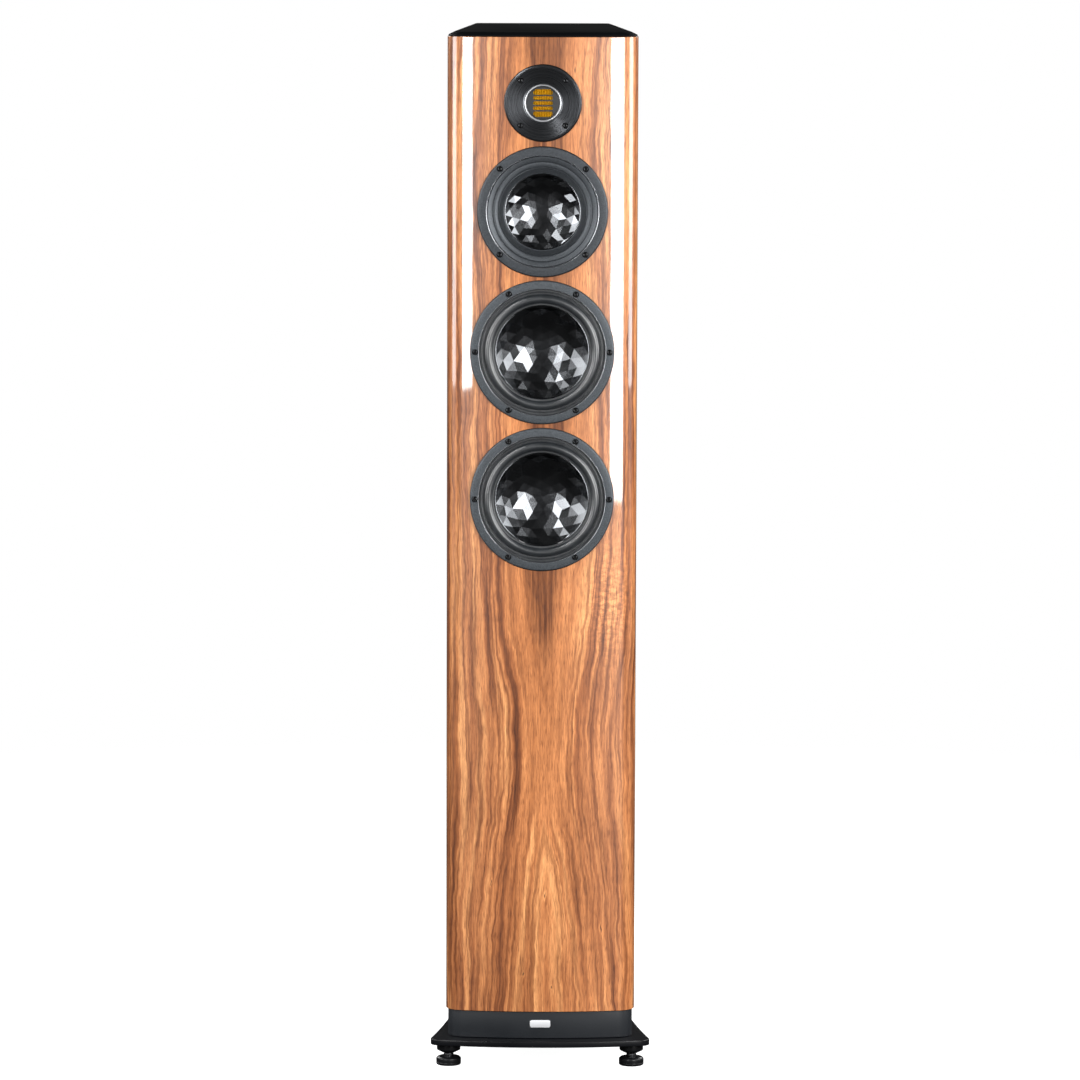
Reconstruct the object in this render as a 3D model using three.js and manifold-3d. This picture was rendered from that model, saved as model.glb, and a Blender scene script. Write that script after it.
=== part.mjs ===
// A three-way floorstanding loudspeaker: a veneered cabinet with a bowed front, two bass drivers,
// a midrange driver and a folded-diaphragm tweeter, standing on a plinth, a base plate and four
// screw feet. Millimetres, +Z up, front towards -Y, origin in the middle of the floor.

import * as THREE from 'three';
import { mergeVertices } from 'three/addons/utils/BufferGeometryUtils.js';
import Module from 'manifold-3d';

const wasm = await Module();
wasm.setup();

// ---- Driving dimensions ----

const GAP = 0.3;                 // clearance between neighbouring pieces
const ROUND = 20;                // sides of a large turned piece
const HIDDEN_ROUND = 14;         // sides of a turned piece inside the cabinet
const SMALL_ROUND = 10;          // sides of a small turned piece

const HEIGHT = 1203;
const TOP_PLATE_BOTTOM = 1198;
const SHELL_BOTTOM = 64.9;
const PLINTH_BOTTOM = 32.8;
const BASE_TOP = 32.5;
const BASE_BOTTOM = 25.5;

const CABINET = {
  front: -155,                   // crown of the bowed front
  rear: 155,
  bowRadius: 460,
  bowHalfWidth: 90,              // where the bow turns into the rounded corner
  sideStart: [109.7, -115],      // where the corner meets the straight side
  rearHalfWidth: 86,
  rearCorner: 14,
  sideBoard: 16,
  innerFront: -128,
  backBoard: 18,
  bowSteps: 4,
  cornerSteps: 4,
};

const TOP_PLATE = { edgeInset: 1, topInset: 7.9, lip: 1.4 };
const PLINTH_INSET = 2.5;
const BOARD = 16;                // thickness of the inner boards
const SHELF_BOTTOM = 910;
const BRACE_BOTTOM = 500;
const BRACE_WINDOW = { halfWidth: 45, front: -80, rear: 90 };

const BASE = {
  halfDepth: 173,
  bowRadius: 560,
  bowHalfWidth: 113.5,           // where the bowed front edge turns into the corner
  corner: [129.6, -158.4],       // pulls the front corner out
  sideStart: [127.1, -144.4],
  waist: [104, -20],             // pulls the concave side edges in
  rearHalfWidth: 92,
  rearCorner: 12,
  bowSteps: 4,
  cornerSteps: 5,
  sideSteps: 6,
  rearSteps: 3,
  edge: 0.9,                     // broken edge
};

const FOOT = {
  places: { fl: [-106.6, -140], fr: [106.6, -140], rl: [-76, 150], rr: [76, 150] },
  padRadius: 14.5,
  padTop: 10.3,
  padShoulder: [2.5, 2],          // how far the rounded shoulder runs in and down
  rubberEdge: 1.2,
  socketRadius: 5.3,
  socketBottom: 3.5,
  tailRadius: 5,
  neckRadius: 5.8,
  neckTop: 14,
  threadRadius: 4,
  threadTop: 30.5,
  boreRadius: 4.4,
  bushBottom: 14.3,
  bushMouthRadius: 6.6,
  collarRadius: 13.8,
  collarBottom: 18,
  barrelRadius: 6.5,
  barrelTop: 31,
};

// Radii from the driver's axis, depths back from the front face of its flange.
const WOOFER = {
  front: -156.2,
  flangeRadius: 83,
  flangeInner: 72.6,
  flangeThickness: 8.6,
  cutoutRadius: 73.5,
  lipDepth: 3.8,
  rollOuter: 69,
  rollInner: 56.5,
  rollHeight: 6,
  coneRadius: 54.3,
  coneSag: 28,
  coneHalfAxis: 57,              // radial half axis of the ellipse that the cone follows
  wallThickness: 4.5,
  wallDepth: 16,
  spiderDepth: 43.8,
  spiderRadius: 44,
  ringRadius: 46,
  ringFront: 56,
  ringRear: 62,
  coilRadius: 19.4,
  coilDepth: 74,
  magnetRadius: 48,
  magnetDepth: 84,
  yokeThickness: 6,
  windowWidth: 50,
};

const MIDRANGE = {
  front: -156,
  flangeRadius: 75.25,
  flangeInner: 64,
  flangeThickness: 7.3,
  cutoutRadius: 66,
  lipDepth: 3.8,
  rollOuter: 51.5,
  rollInner: 46,
  rollHeight: 3,
  coneRadius: 44,
  coneSag: 18.6,
  coneHalfAxis: 46.2,
  wallThickness: 4.5,
  wallDepth: 14,
  spiderDepth: 34.8,
  spiderRadius: 36,
  ringRadius: 39,
  ringFront: 43,
  ringRear: 48,
  coilRadius: 15.6,
  coilDepth: 57,
  magnetRadius: 40,
  magnetDepth: 64,
  yokeThickness: 5,
  windowWidth: 42,
};

const DRIVER_HEIGHTS = { midrange: 997.2, woofer_upper: 835.2, woofer_lower: 664.7 };

const BASKET = {
  edge: 1,                       // broken outer edge of the flange
  wallPlay: 0.5,                 // between the wall and the cut-out
  ringShoulder: 9,               // from the spider's seat back to the straight part of the ring
  seatPlay: 1.5,
  seatLip: 2,
  seatInset: 6,
  windowFront: 4,
  windowRear: 3,
};
const SPIDER_WAVE = 2;
const LIP_SKIN = 1;              // thickness of a surround
const CONE_SKIN = 1.2;
const COIL_SKIN = 0.8;
const POLE_CLEARANCE = 1.3;      // between the coil and the steel on either side of it
const ROLL_STEPS = 4;
const CONE_STEPS = 4;

const TWEETER = {
  front: -156.3,
  height: 1122.2,
  radius: 44.4,
  thickness: 4.2,
  edgeWidth: 2.7,
  edgeDepth: 1.6,
  cutoutRadius: 36,
  spigotRadius: 35,
  spigotDepth: 12,
  boreRadius: 21.8,
  ringRadius: 21.5,
  ringInner: 19.7,
  ringProud: 1.2,
  plateRadius: 19.4,
  plateFront: 0.4,
  plateRear: 3,
  windowHalfWidth: 11.7,
  windows: [                     // height, and how far the pointed ends reach past the straight edges
    [6.6, 3.2], [4.6, 1.5], [4.6, 1.5], [4.6, 1.5], [6.6, 3.2],
  ],
  bar: 1.25,
  foilHalfWidth: 12.5,
  foilHalfHeight: 16.2,
  foilFront: 4.2,
  foilFold: 3,
  foilSkin: 0.8,
  foilPleats: 8,
  motorRadius: 34,
  motorDepth: 40,
};

const PORT = {
  heights: { port_upper: 600, port_lower: 400 },
  flangeRadius: 46,
  flangeThickness: 2.7,
  panelRadius: 40,
  tubeRadius: 34,
  boreRadius: 30,
  mouthRadius: 42,
  flare: [[36.5, 4], [32.5, 14]],  // radius, and depth inside the rear of the panel
  tubeFront: 20,
  shoulder: 12,                  // length of the cone outside the tube
  edge: 1,
};

const TERMINAL = {
  height: 180,
  flangeHalf: [58, 43],
  bodyHalf: [48, 33],
  cavityHalf: [44, 29],
  flangeThickness: 2.7,
  floorFront: 117,
  floorRear: 121,
  spacing: 19,                   // from the middle to each post
  postRadius: 3.7,
  postFront: 108,
  postRear: 149,
  collarRadius: 9,
  collarThickness: 3,
  washerRadius: 8.5,
  washerThickness: 2,
  capRadius: 9.5,
  capRear: 146,
  boreRadius: 4.3,
};

const BADGE = { halfWidth: 11.9, halfHeight: 4.4, corner: 1.5, thickness: 1, height: 50.4 };

const CROSSOVER = {
  boardHalf: [55, 60],
  boardThickness: 2,
  coil: { x: -25, y: -20, radius: 22, bore: 10, height: 18 },
  capacitor: { x: 22, y: 20, radius: 12, length: 50 },
};

const FINISH = {
  walnut: { color: 0xb97a4c, roughness: 0.18, metalness: 0 },
  board: { color: 0x9a8467, roughness: 0.9, metalness: 0 },
  satinBlack: { color: 0x1c1f21, roughness: 0.4, metalness: 0.1 },
  plinthGrey: { color: 0x2c3035, roughness: 0.45, metalness: 0.1 },
  glossBlack: { color: 0x0c0d0f, roughness: 0.15, metalness: 0.2 },
  flangeGrey: { color: 0x5c636a, roughness: 0.45, metalness: 0.6 },
  darkFlange: { color: 0x43474b, roughness: 0.45, metalness: 0.6 },
  coneMetal: { color: 0x53585d, roughness: 0.25, metalness: 0.9 },
  rubber: { color: 0x151617, roughness: 0.75, metalness: 0 },
  steel: { color: 0x9a9da0, roughness: 0.35, metalness: 1 },
  silver: { color: 0xd5d8da, roughness: 0.2, metalness: 1 },
  gold: { color: 0xb99242, roughness: 0.3, metalness: 1 },
  ferrite: { color: 0x242424, roughness: 0.8, metalness: 0 },
  copper: { color: 0xb06a3b, roughness: 0.4, metalness: 0.9 },
  cloth: { color: 0xa8864e, roughness: 0.95, metalness: 0 },
  plastic: { color: 0x17181a, roughness: 0.5, metalness: 0 },
  redPlastic: { color: 0xa3161a, roughness: 0.4, metalness: 0 },
  circuit: { color: 0x2f5a3a, roughness: 0.6, metalness: 0 },
};

// ---- Solids, booleans and placing ----

const speaker = new THREE.Group();

function add(name, geometry, finish, position = [0, 0, 0]) {
  const mesh = new THREE.Mesh(geometry, new THREE.MeshStandardMaterial(finish));
  mesh.name = name;
  mesh.position.set(...position);
  speaker.add(mesh);
  return mesh;
}

function weld(geometry) {
  const bare = geometry.clone();
  bare.deleteAttribute('normal');
  bare.deleteAttribute('uv');
  const merged = mergeVertices(bare, 1e-4);
  const index = merged.index.array;
  const kept = [];
  for (let i = 0; i < index.length; i += 3) {
    const [a, b, c] = index.subarray(i, i + 3);
    if (a !== b && b !== c && a !== c) kept.push(a, b, c);
  }
  merged.setIndex(kept);
  return merged;
}

function toManifold(geometry) {
  const merged = weld(geometry);
  return new wasm.Manifold(new wasm.Mesh({
    numProp: 3,
    vertProperties: Float32Array.from(merged.attributes.position.array),
    triVerts: Uint32Array.from(merged.index.array),
  }));
}

function toGeometry(solid) {
  const mesh = solid.getMesh();
  const geometry = new THREE.BufferGeometry();
  geometry.setAttribute('position', new THREE.BufferAttribute(mesh.vertProperties, 3));
  geometry.setIndex(new THREE.BufferAttribute(mesh.triVerts, 1));
  geometry.computeVertexNormals();
  return geometry;
}

function cut(geometry, tools) {
  let solid = toManifold(geometry);
  for (const tool of tools) solid = solid.subtract(toManifold(tool));
  return toGeometry(solid);
}

function join(geometry, others) {
  let solid = toManifold(geometry);
  for (const other of others) solid = solid.add(toManifold(other));
  return toGeometry(solid);
}

// A solid turned about Y. A profile is a list of [radius, y]; one that leaves the axis open is a ring.
function turned(profile, sides) {
  let points = profile.map(([radius, y]) => new THREE.Vector2(radius, y));
  if (THREE.ShapeUtils.area(points) < 0) points.reverse();
  const onAxis = points[0].x === 0 && points.at(-1).x === 0;
  if (!onAxis) points = [...points, points[0].clone()];
  return weld(new THREE.LatheGeometry(points, sides));
}

// The same about Z, with [radius, z].
function turnedUpright(profile, sides) {
  return turned(profile, sides).rotateX(Math.PI / 2);
}

function ring(inner, outer, start, end, sides) {
  return turned([[inner, start], [outer, start], [outer, end], [inner, end]], sides);
}

function disc(radius, start, end, sides) {
  return turned([[0, start], [radius, start], [radius, end], [0, end]], sides);
}

function box(x0, x1, y0, y1, z0, z1) {
  const geometry = new THREE.BoxGeometry(x1 - x0, y1 - y0, z1 - z0);
  return geometry.translate((x0 + x1) / 2, (y0 + y1) / 2, (z0 + z1) / 2);
}

function slab(outline, bottom, top) {
  const shape = new THREE.Shape(outline);
  const geometry = new THREE.ExtrudeGeometry(shape, { depth: top - bottom, bevelEnabled: false });
  return geometry.translate(0, 0, bottom);
}

// A solid through outlines of equal point counts, each at its own height, from the lowest up.
function stack(layers) {
  const count = layers[0].outline.length;
  const vertices = [];
  for (const { outline, z } of layers) {
    for (const point of outline) vertices.push(point.x, point.y, z);
  }
  const faces = [];
  for (let layer = 0; layer < layers.length - 1; layer++) {
    for (let i = 0; i < count; i++) {
      const a = layer * count + i;
      const b = layer * count + (i + 1) % count;
      faces.push(a, b, b + count, a, b + count, a + count);
    }
  }
  const last = (layers.length - 1) * count;
  for (const [a, b, c] of THREE.ShapeUtils.triangulateShape(layers[0].outline, [])) faces.push(a, c, b);
  for (const [a, b, c] of THREE.ShapeUtils.triangulateShape(layers.at(-1).outline, [])) {
    faces.push(last + a, last + b, last + c);
  }
  const geometry = new THREE.BufferGeometry();
  geometry.setAttribute('position', new THREE.Float32BufferAttribute(vertices, 3));
  geometry.setIndex(faces);
  return geometry;
}

// Moves every point of an outline, which runs anticlockwise, inwards by a distance.
function inset(outline, distance) {
  return outline.map((point, i) => {
    const before = outline.at(i - 1);
    const after = outline[(i + 1) % outline.length];
    const first = new THREE.Vector2(before.y - point.y, point.x - before.x).normalize();
    const second = new THREE.Vector2(point.y - after.y, after.x - point.x).normalize();
    const reach = distance / (1 + first.dot(second));
    return point.clone().addScaledVector(first.add(second), reach);
  });
}

// Completes the right half of an outline, which starts at the middle of the front.
function mirrored(half) {
  const left = half.filter((point) => point.x > 0).map((point) => new THREE.Vector2(-point.x, point.y));
  return [...half, ...left.reverse()];
}

// ---- Cabinet ----

function sideHalfWidth(y) {
  const [startX, startY] = CABINET.sideStart;
  return startX + (CABINET.rearHalfWidth - startX) * (y - startY) / (CABINET.rear - startY);
}

function innerHalfWidth(y) {
  return sideHalfWidth(y) - CABINET.sideBoard;
}

function bow(x) {
  return CABINET.front + CABINET.bowRadius - Math.sqrt(CABINET.bowRadius ** 2 - x ** 2);
}

// Where the tangent at the end of the bow meets the line of the side.
function cornerControl() {
  const x = CABINET.bowHalfWidth;
  const bowSlope = x / Math.sqrt(CABINET.bowRadius ** 2 - x ** 2);
  const [startX, startY] = CABINET.sideStart;
  const sideSlope = (CABINET.rearHalfWidth - startX) / (CABINET.rear - startY);
  const y = (bow(x) + bowSlope * (startX - sideSlope * startY - x)) / (1 - bowSlope * sideSlope);
  return new THREE.Vector2(startX + sideSlope * (y - startY), y);
}

function cabinetOutline() {
  const half = [];
  for (let i = 0; i <= CABINET.bowSteps; i++) {
    const x = CABINET.bowHalfWidth * i / CABINET.bowSteps;
    half.push(new THREE.Vector2(x, bow(x)));
  }
  const sideStart = new THREE.Vector2(...CABINET.sideStart);
  const corner = new THREE.QuadraticBezierCurve(half.at(-1), cornerControl(), sideStart);
  half.push(...corner.getPoints(CABINET.cornerSteps).slice(1));
  const { rear, rearHalfWidth, rearCorner, cornerSteps } = CABINET;
  const rearEdge = new THREE.QuadraticBezierCurve(
    new THREE.Vector2(sideHalfWidth(rear - rearCorner), rear - rearCorner),
    new THREE.Vector2(rearHalfWidth, rear),
    new THREE.Vector2(rearHalfWidth - rearCorner, rear),
  );
  half.push(...rearEdge.getPoints(cornerSteps));
  return mirrored(half);
}

// A board across the inside of the cabinet, clear of the sides by a gap.
function crossBoardOutline(front, rear) {
  return mirrored([
    new THREE.Vector2(innerHalfWidth(front) - GAP, front),
    new THREE.Vector2(innerHalfWidth(rear) - GAP, rear),
  ]);
}

function driverPocket(driver, height) {
  const seat = driver.front + (driver.flangeThickness ?? driver.thickness) + GAP;
  const rim = (driver.flangeRadius ?? driver.radius) + GAP;
  const ahead = CABINET.front - 10;
  const behind = CABINET.innerFront + 10;
  const profile = [
    [0, ahead], [rim, ahead], [rim, seat], [driver.cutoutRadius, seat],
    [driver.cutoutRadius, behind], [0, behind],
  ];
  return turned(profile, ROUND).translate(0, 0, height);
}

function addCabinet() {
  const outline = cabinetOutline();
  const shellTop = TOP_PLATE_BOTTOM - GAP;
  const pastRear = CABINET.rear + 5;
  const hollow = mirrored([
    new THREE.Vector2(innerHalfWidth(CABINET.innerFront), CABINET.innerFront),
    new THREE.Vector2(innerHalfWidth(pastRear), pastRear),
  ]);
  const tools = [slab(hollow, SHELL_BOTTOM - 1, shellTop + 1), driverPocket(TWEETER, TWEETER.height)];
  for (const [name, height] of Object.entries(DRIVER_HEIGHTS)) {
    tools.push(driverPocket(name === 'midrange' ? MIDRANGE : WOOFER, height));
  }
  add('cabinet_shell', cut(slab(outline, SHELL_BOTTOM, shellTop), tools), FINISH.walnut);

  const backFront = CABINET.rear - CABINET.backBoard;
  const [cupX, cupZ] = TERMINAL.bodyHalf;
  const holes = Object.values(PORT.heights).map((height) =>
    disc(PORT.panelRadius + GAP, backFront - 1, CABINET.rear + 1, ROUND).translate(0, 0, height));
  holes.push(box(-cupX - GAP, cupX + GAP, backFront - 1, CABINET.rear + 1,
    TERMINAL.height - cupZ - GAP, TERMINAL.height + cupZ + GAP));
  const backBoard = slab(crossBoardOutline(backFront, CABINET.rear), SHELL_BOTTOM, shellTop);
  add('back_panel', cut(backBoard, holes), FINISH.satinBlack);

  const boardOutline = crossBoardOutline(CABINET.innerFront + GAP, backFront - GAP);
  add('top_board', slab(boardOutline, shellTop - BOARD, shellTop), FINISH.board);
  add('bottom_board', slab(boardOutline, SHELL_BOTTOM, SHELL_BOTTOM + BOARD), FINISH.board);
  add('chamber_shelf', slab(boardOutline, SHELF_BOTTOM, SHELF_BOTTOM + BOARD), FINISH.board);
  const window = box(-BRACE_WINDOW.halfWidth, BRACE_WINDOW.halfWidth, BRACE_WINDOW.front,
    BRACE_WINDOW.rear, BRACE_BOTTOM - 1, BRACE_BOTTOM + BOARD + 1);
  const brace = slab(boardOutline, BRACE_BOTTOM, BRACE_BOTTOM + BOARD);
  add('window_brace', cut(brace, [window]), FINISH.board);

  const lower = inset(outline, TOP_PLATE.edgeInset);
  add('top_plate', stack([
    { outline: lower, z: TOP_PLATE_BOTTOM },
    { outline: lower, z: TOP_PLATE_BOTTOM + TOP_PLATE.lip },
    { outline: inset(outline, TOP_PLATE.topInset), z: HEIGHT },
  ]), FINISH.satinBlack);

  const plinthTop = SHELL_BOTTOM - GAP;
  add('plinth', slab(inset(outline, PLINTH_INSET), PLINTH_BOTTOM, plinthTop), FINISH.plinthGrey);
}

function addBadge() {
  const { halfWidth, halfHeight, corner, thickness, height } = BADGE;
  const half = [
    new THREE.Vector2(halfWidth - corner, -halfHeight),
    new THREE.Vector2(halfWidth, -halfHeight + corner),
    new THREE.Vector2(halfWidth, halfHeight - corner),
    new THREE.Vector2(halfWidth - corner, halfHeight),
  ];
  const plate = slab(mirrored(half), 0, thickness).rotateX(Math.PI / 2);
  const back = CABINET.front + PLINTH_INSET - GAP;
  add('badge', plate, FINISH.steel, [0, back, height]);
}

// ---- Base plate and screw feet ----

function baseOutline() {
  const { halfDepth, bowRadius, bowHalfWidth, rearHalfWidth, rearCorner } = BASE;
  const front = [];
  for (let i = 0; i < BASE.bowSteps; i++) {
    const x = bowHalfWidth * i / BASE.bowSteps;
    front.push(new THREE.Vector2(x, bowRadius - halfDepth - Math.sqrt(bowRadius ** 2 - x ** 2)));
  }
  const bowEnd = bowRadius - halfDepth - Math.sqrt(bowRadius ** 2 - bowHalfWidth ** 2);
  const frontCorner = new THREE.QuadraticBezierCurve(
    new THREE.Vector2(bowHalfWidth, bowEnd),
    new THREE.Vector2(...BASE.corner),
    new THREE.Vector2(...BASE.sideStart),
  );
  const side = new THREE.QuadraticBezierCurve(
    new THREE.Vector2(...BASE.sideStart),
    new THREE.Vector2(...BASE.waist),
    new THREE.Vector2(rearHalfWidth, halfDepth - rearCorner),
  );
  const rear = new THREE.QuadraticBezierCurve(
    new THREE.Vector2(rearHalfWidth, halfDepth - rearCorner),
    new THREE.Vector2(rearHalfWidth, halfDepth),
    new THREE.Vector2(rearHalfWidth - rearCorner, halfDepth),
  );
  return mirrored([
    ...front,
    ...frontCorner.getPoints(BASE.cornerSteps),
    ...side.getPoints(BASE.sideSteps).slice(1),
    ...rear.getPoints(BASE.rearSteps).slice(1),
  ]);
}

function addBase() {
  const outline = baseOutline();
  const eased = inset(outline, BASE.edge);
  const plate = stack([
    { outline: eased, z: BASE_BOTTOM },
    { outline, z: BASE_BOTTOM + BASE.edge },
    { outline, z: BASE_TOP - BASE.edge },
    { outline: eased, z: BASE_TOP },
  ]);
  const holes = Object.values(FOOT.places).map(([x, y]) => turnedUpright([
    [0, BASE_BOTTOM - 1], [FOOT.barrelRadius + GAP, BASE_BOTTOM - 1],
    [FOOT.barrelRadius + GAP, FOOT.barrelTop + GAP], [0, FOOT.barrelTop + GAP],
  ], SMALL_ROUND).translate(x, y, 0));
  add('base_plate', cut(plate, holes), FINISH.glossBlack);
}

// A foot is a pad that turns freely on the tail of a threaded stem, in a bush fixed to the plate.
function addFoot(corner, [x, y]) {
  const place = [x, y, 0];
  const { padRadius, padTop, padShoulder, rubberEdge, socketRadius, socketBottom } = FOOT;
  const [shoulderRun, shoulderDrop] = padShoulder;
  add(`foot_pad_${corner}`, turnedUpright([
    [0, 0], [padRadius - rubberEdge, 0], [padRadius, rubberEdge], [padRadius, padTop - shoulderDrop],
    [padRadius - shoulderRun, padTop], [socketRadius, padTop], [socketRadius, socketBottom], [0, socketBottom],
  ], SMALL_ROUND), FINISH.glossBlack, place);
  add(`foot_stem_${corner}`, turnedUpright([
    [0, socketBottom + GAP], [FOOT.tailRadius, socketBottom + GAP], [FOOT.tailRadius, padTop + GAP],
    [FOOT.neckRadius, padTop + GAP], [FOOT.neckRadius, FOOT.neckTop], [FOOT.threadRadius, FOOT.neckTop],
    [FOOT.threadRadius, FOOT.threadTop], [0, FOOT.threadTop],
  ], SMALL_ROUND), FINISH.steel, place);
  add(`foot_bush_${corner}`, turnedUpright([
    [FOOT.boreRadius, FOOT.bushBottom], [FOOT.bushMouthRadius, FOOT.bushBottom],
    [FOOT.collarRadius, FOOT.collarBottom], [FOOT.collarRadius, BASE_BOTTOM - GAP],
    [FOOT.barrelRadius, BASE_BOTTOM - GAP], [FOOT.barrelRadius, FOOT.barrelTop],
    [FOOT.boreRadius, FOOT.barrelTop],
  ], SMALL_ROUND), FINISH.glossBlack, place);
}

// ---- Cone drivers ----

// Depth of the cone's front face below the flange at a radius: a bowl that steepens to its rim.
function coneDepth(driver, radius) {
  const rise = (r) => Math.sqrt(1 - (r / driver.coneHalfAxis) ** 2);
  const rim = rise(driver.coneRadius);
  return driver.lipDepth + driver.coneSag * (rise(radius) - rim) / (1 - rim);
}

function basket(driver) {
  const ledge = driver.lipDepth + LIP_SKIN + GAP;
  const wall = driver.cutoutRadius - BASKET.wallPlay;
  const wallInner = wall - driver.wallThickness;
  const spiderSeat = driver.spiderDepth + LIP_SKIN + GAP;
  const seatWall = driver.spiderRadius + BASKET.seatPlay;
  const seatInner = driver.spiderRadius - BASKET.seatInset;
  const plateBore = driver.coilRadius + POLE_CLEARANCE;
  const frame = turned([
    [driver.flangeInner, 0],
    [driver.flangeRadius - BASKET.edge, 0],
    [driver.flangeRadius, BASKET.edge],
    [driver.flangeRadius, driver.flangeThickness],
    [wall, driver.flangeThickness],
    [wall, driver.wallDepth],
    [driver.ringRadius, driver.spiderDepth + BASKET.ringShoulder],
    [driver.ringRadius, driver.ringRear],
    [plateBore, driver.ringRear],
    [plateBore, driver.ringFront],
    [seatInner, driver.ringFront],
    [seatInner, spiderSeat],
    [seatWall, spiderSeat],
    [seatWall, driver.spiderDepth - BASKET.seatLip],
    [wallInner, driver.wallDepth],
    [wallInner, ledge],
    [driver.flangeInner, ledge],
  ], ROUND);
  const half = driver.windowWidth / 2;
  const reach = driver.flangeRadius + 10;
  const front = driver.wallDepth + BASKET.windowFront;
  const window = box(-reach, reach, front, driver.spiderDepth - BASKET.windowRear, -half, half);
  return cut(frame, [window.clone().rotateY(Math.PI / 4), window.clone().rotateY(-Math.PI / 4)]);
}

function surround(driver) {
  const middle = (driver.rollOuter + driver.rollInner) / 2;
  const halfWidth = (driver.rollOuter - driver.rollInner) / 2;
  const depth = driver.lipDepth;
  const front = [[driver.flangeInner - GAP, depth]];
  const back = [[driver.flangeInner - GAP, depth + LIP_SKIN]];
  for (let i = 0; i <= ROLL_STEPS; i++) {
    const angle = Math.PI * i / ROLL_STEPS;
    const rise = driver.rollHeight * Math.sin(angle);
    const skin = halfWidth - LIP_SKIN * Math.sin(angle) ** 2;
    front.push([middle + halfWidth * Math.cos(angle), depth - rise]);
    back.push([middle + skin * Math.cos(angle), depth + LIP_SKIN - rise]);
  }
  front.push([driver.coneRadius + GAP, depth]);
  back.push([driver.coneRadius + GAP, depth + LIP_SKIN]);
  return turned([...front, ...back.reverse()], ROUND);
}

function cone(driver) {
  const front = [];
  for (let i = 0; i <= CONE_STEPS; i++) {
    const radius = driver.coneRadius * Math.sin(Math.PI * i / (2 * CONE_STEPS));
    front.push([radius, coneDepth(driver, radius)]);
  }
  const back = front.map(([radius, depth]) => [radius, depth + CONE_SKIN]);
  return turned([...front, ...back.reverse()], ROUND);
}

function spider(driver) {
  const inner = driver.coilRadius + 2 * GAP;
  const outer = driver.spiderRadius;
  const waves = 2;
  const front = [];
  for (let i = 0; i <= waves; i++) {
    const wave = i % 2 === 0 ? 0 : SPIDER_WAVE;
    front.push([inner + (outer - inner) * i / waves, driver.spiderDepth - wave]);
  }
  const back = front.map(([radius, depth]) => [radius, depth + LIP_SKIN]);
  return turned([...front, ...back.reverse()], HIDDEN_ROUND);
}

function addDriver(name, driver, height) {
  const place = [0, driver.front, height];
  const coilInner = driver.coilRadius - COIL_SKIN;
  const poleRadius = coilInner - POLE_CLEARANCE;
  const coilFront = coneDepth(driver, coilInner) + CONE_SKIN + 2 * GAP;
  const magnetFront = driver.ringRear + GAP;
  const yokeFront = driver.magnetDepth + GAP;
  const isWoofer = driver === WOOFER;
  add(`${name}_basket`, basket(driver), isWoofer ? FINISH.flangeGrey : FINISH.darkFlange, place);
  add(`${name}_surround`, surround(driver), FINISH.rubber, place);
  add(`${name}_cone`, cone(driver), FINISH.coneMetal, place);
  add(`${name}_voice_coil`,
    ring(coilInner, driver.coilRadius, coilFront, driver.coilDepth, HIDDEN_ROUND), FINISH.copper, place);
  add(`${name}_spider`, spider(driver), FINISH.cloth, place);
  add(`${name}_magnet`,
    ring(driver.coilRadius + 4, driver.magnetRadius, magnetFront, driver.magnetDepth, HIDDEN_ROUND),
    FINISH.ferrite, place);
  add(`${name}_yoke`, turned([
    [0, driver.ringFront + 1], [poleRadius, driver.ringFront + 1], [poleRadius, yokeFront],
    [driver.magnetRadius - 3, yokeFront], [driver.magnetRadius - 3, yokeFront + driver.yokeThickness],
    [0, yokeFront + driver.yokeThickness],
  ], HIDDEN_ROUND), FINISH.steel, place);
}

// ---- Tweeter ----

function tweeterWindows() {
  const { bar, windowHalfWidth } = TWEETER;
  const total = TWEETER.windows.reduce((sum, [height]) => sum + height + bar, -bar);
  const windows = [];
  let top = total / 2;
  for (const [height, point] of TWEETER.windows) {
    const middle = top - height / 2;
    const straight = windowHalfWidth - point;
    const outline = [
      new THREE.Vector2(-straight, -height / 2), new THREE.Vector2(straight, -height / 2),
      new THREE.Vector2(windowHalfWidth, 0), new THREE.Vector2(straight, height / 2),
      new THREE.Vector2(-straight, height / 2), new THREE.Vector2(-windowHalfWidth, 0),
    ];
    windows.push(slab(outline, -TWEETER.plateRear - 1, 1).rotateX(Math.PI / 2).translate(0, 0, middle));
    top -= height + bar;
  }
  return windows;
}

// A foil folded into upright pleats.
function foldedFoil() {
  const { foilHalfWidth, foilFront, foilFold, foilSkin, foilPleats, foilHalfHeight } = TWEETER;
  const front = [];
  for (let i = 0; i <= 2 * foilPleats; i++) {
    const x = foilHalfWidth * (i / foilPleats - 1);
    front.push(new THREE.Vector2(x, foilFront + (i % 2) * foilFold));
  }
  const back = front.map((point) => new THREE.Vector2(point.x, point.y + foilSkin));
  return slab([...front, ...back.reverse()], -foilHalfHeight, foilHalfHeight);
}

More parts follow.
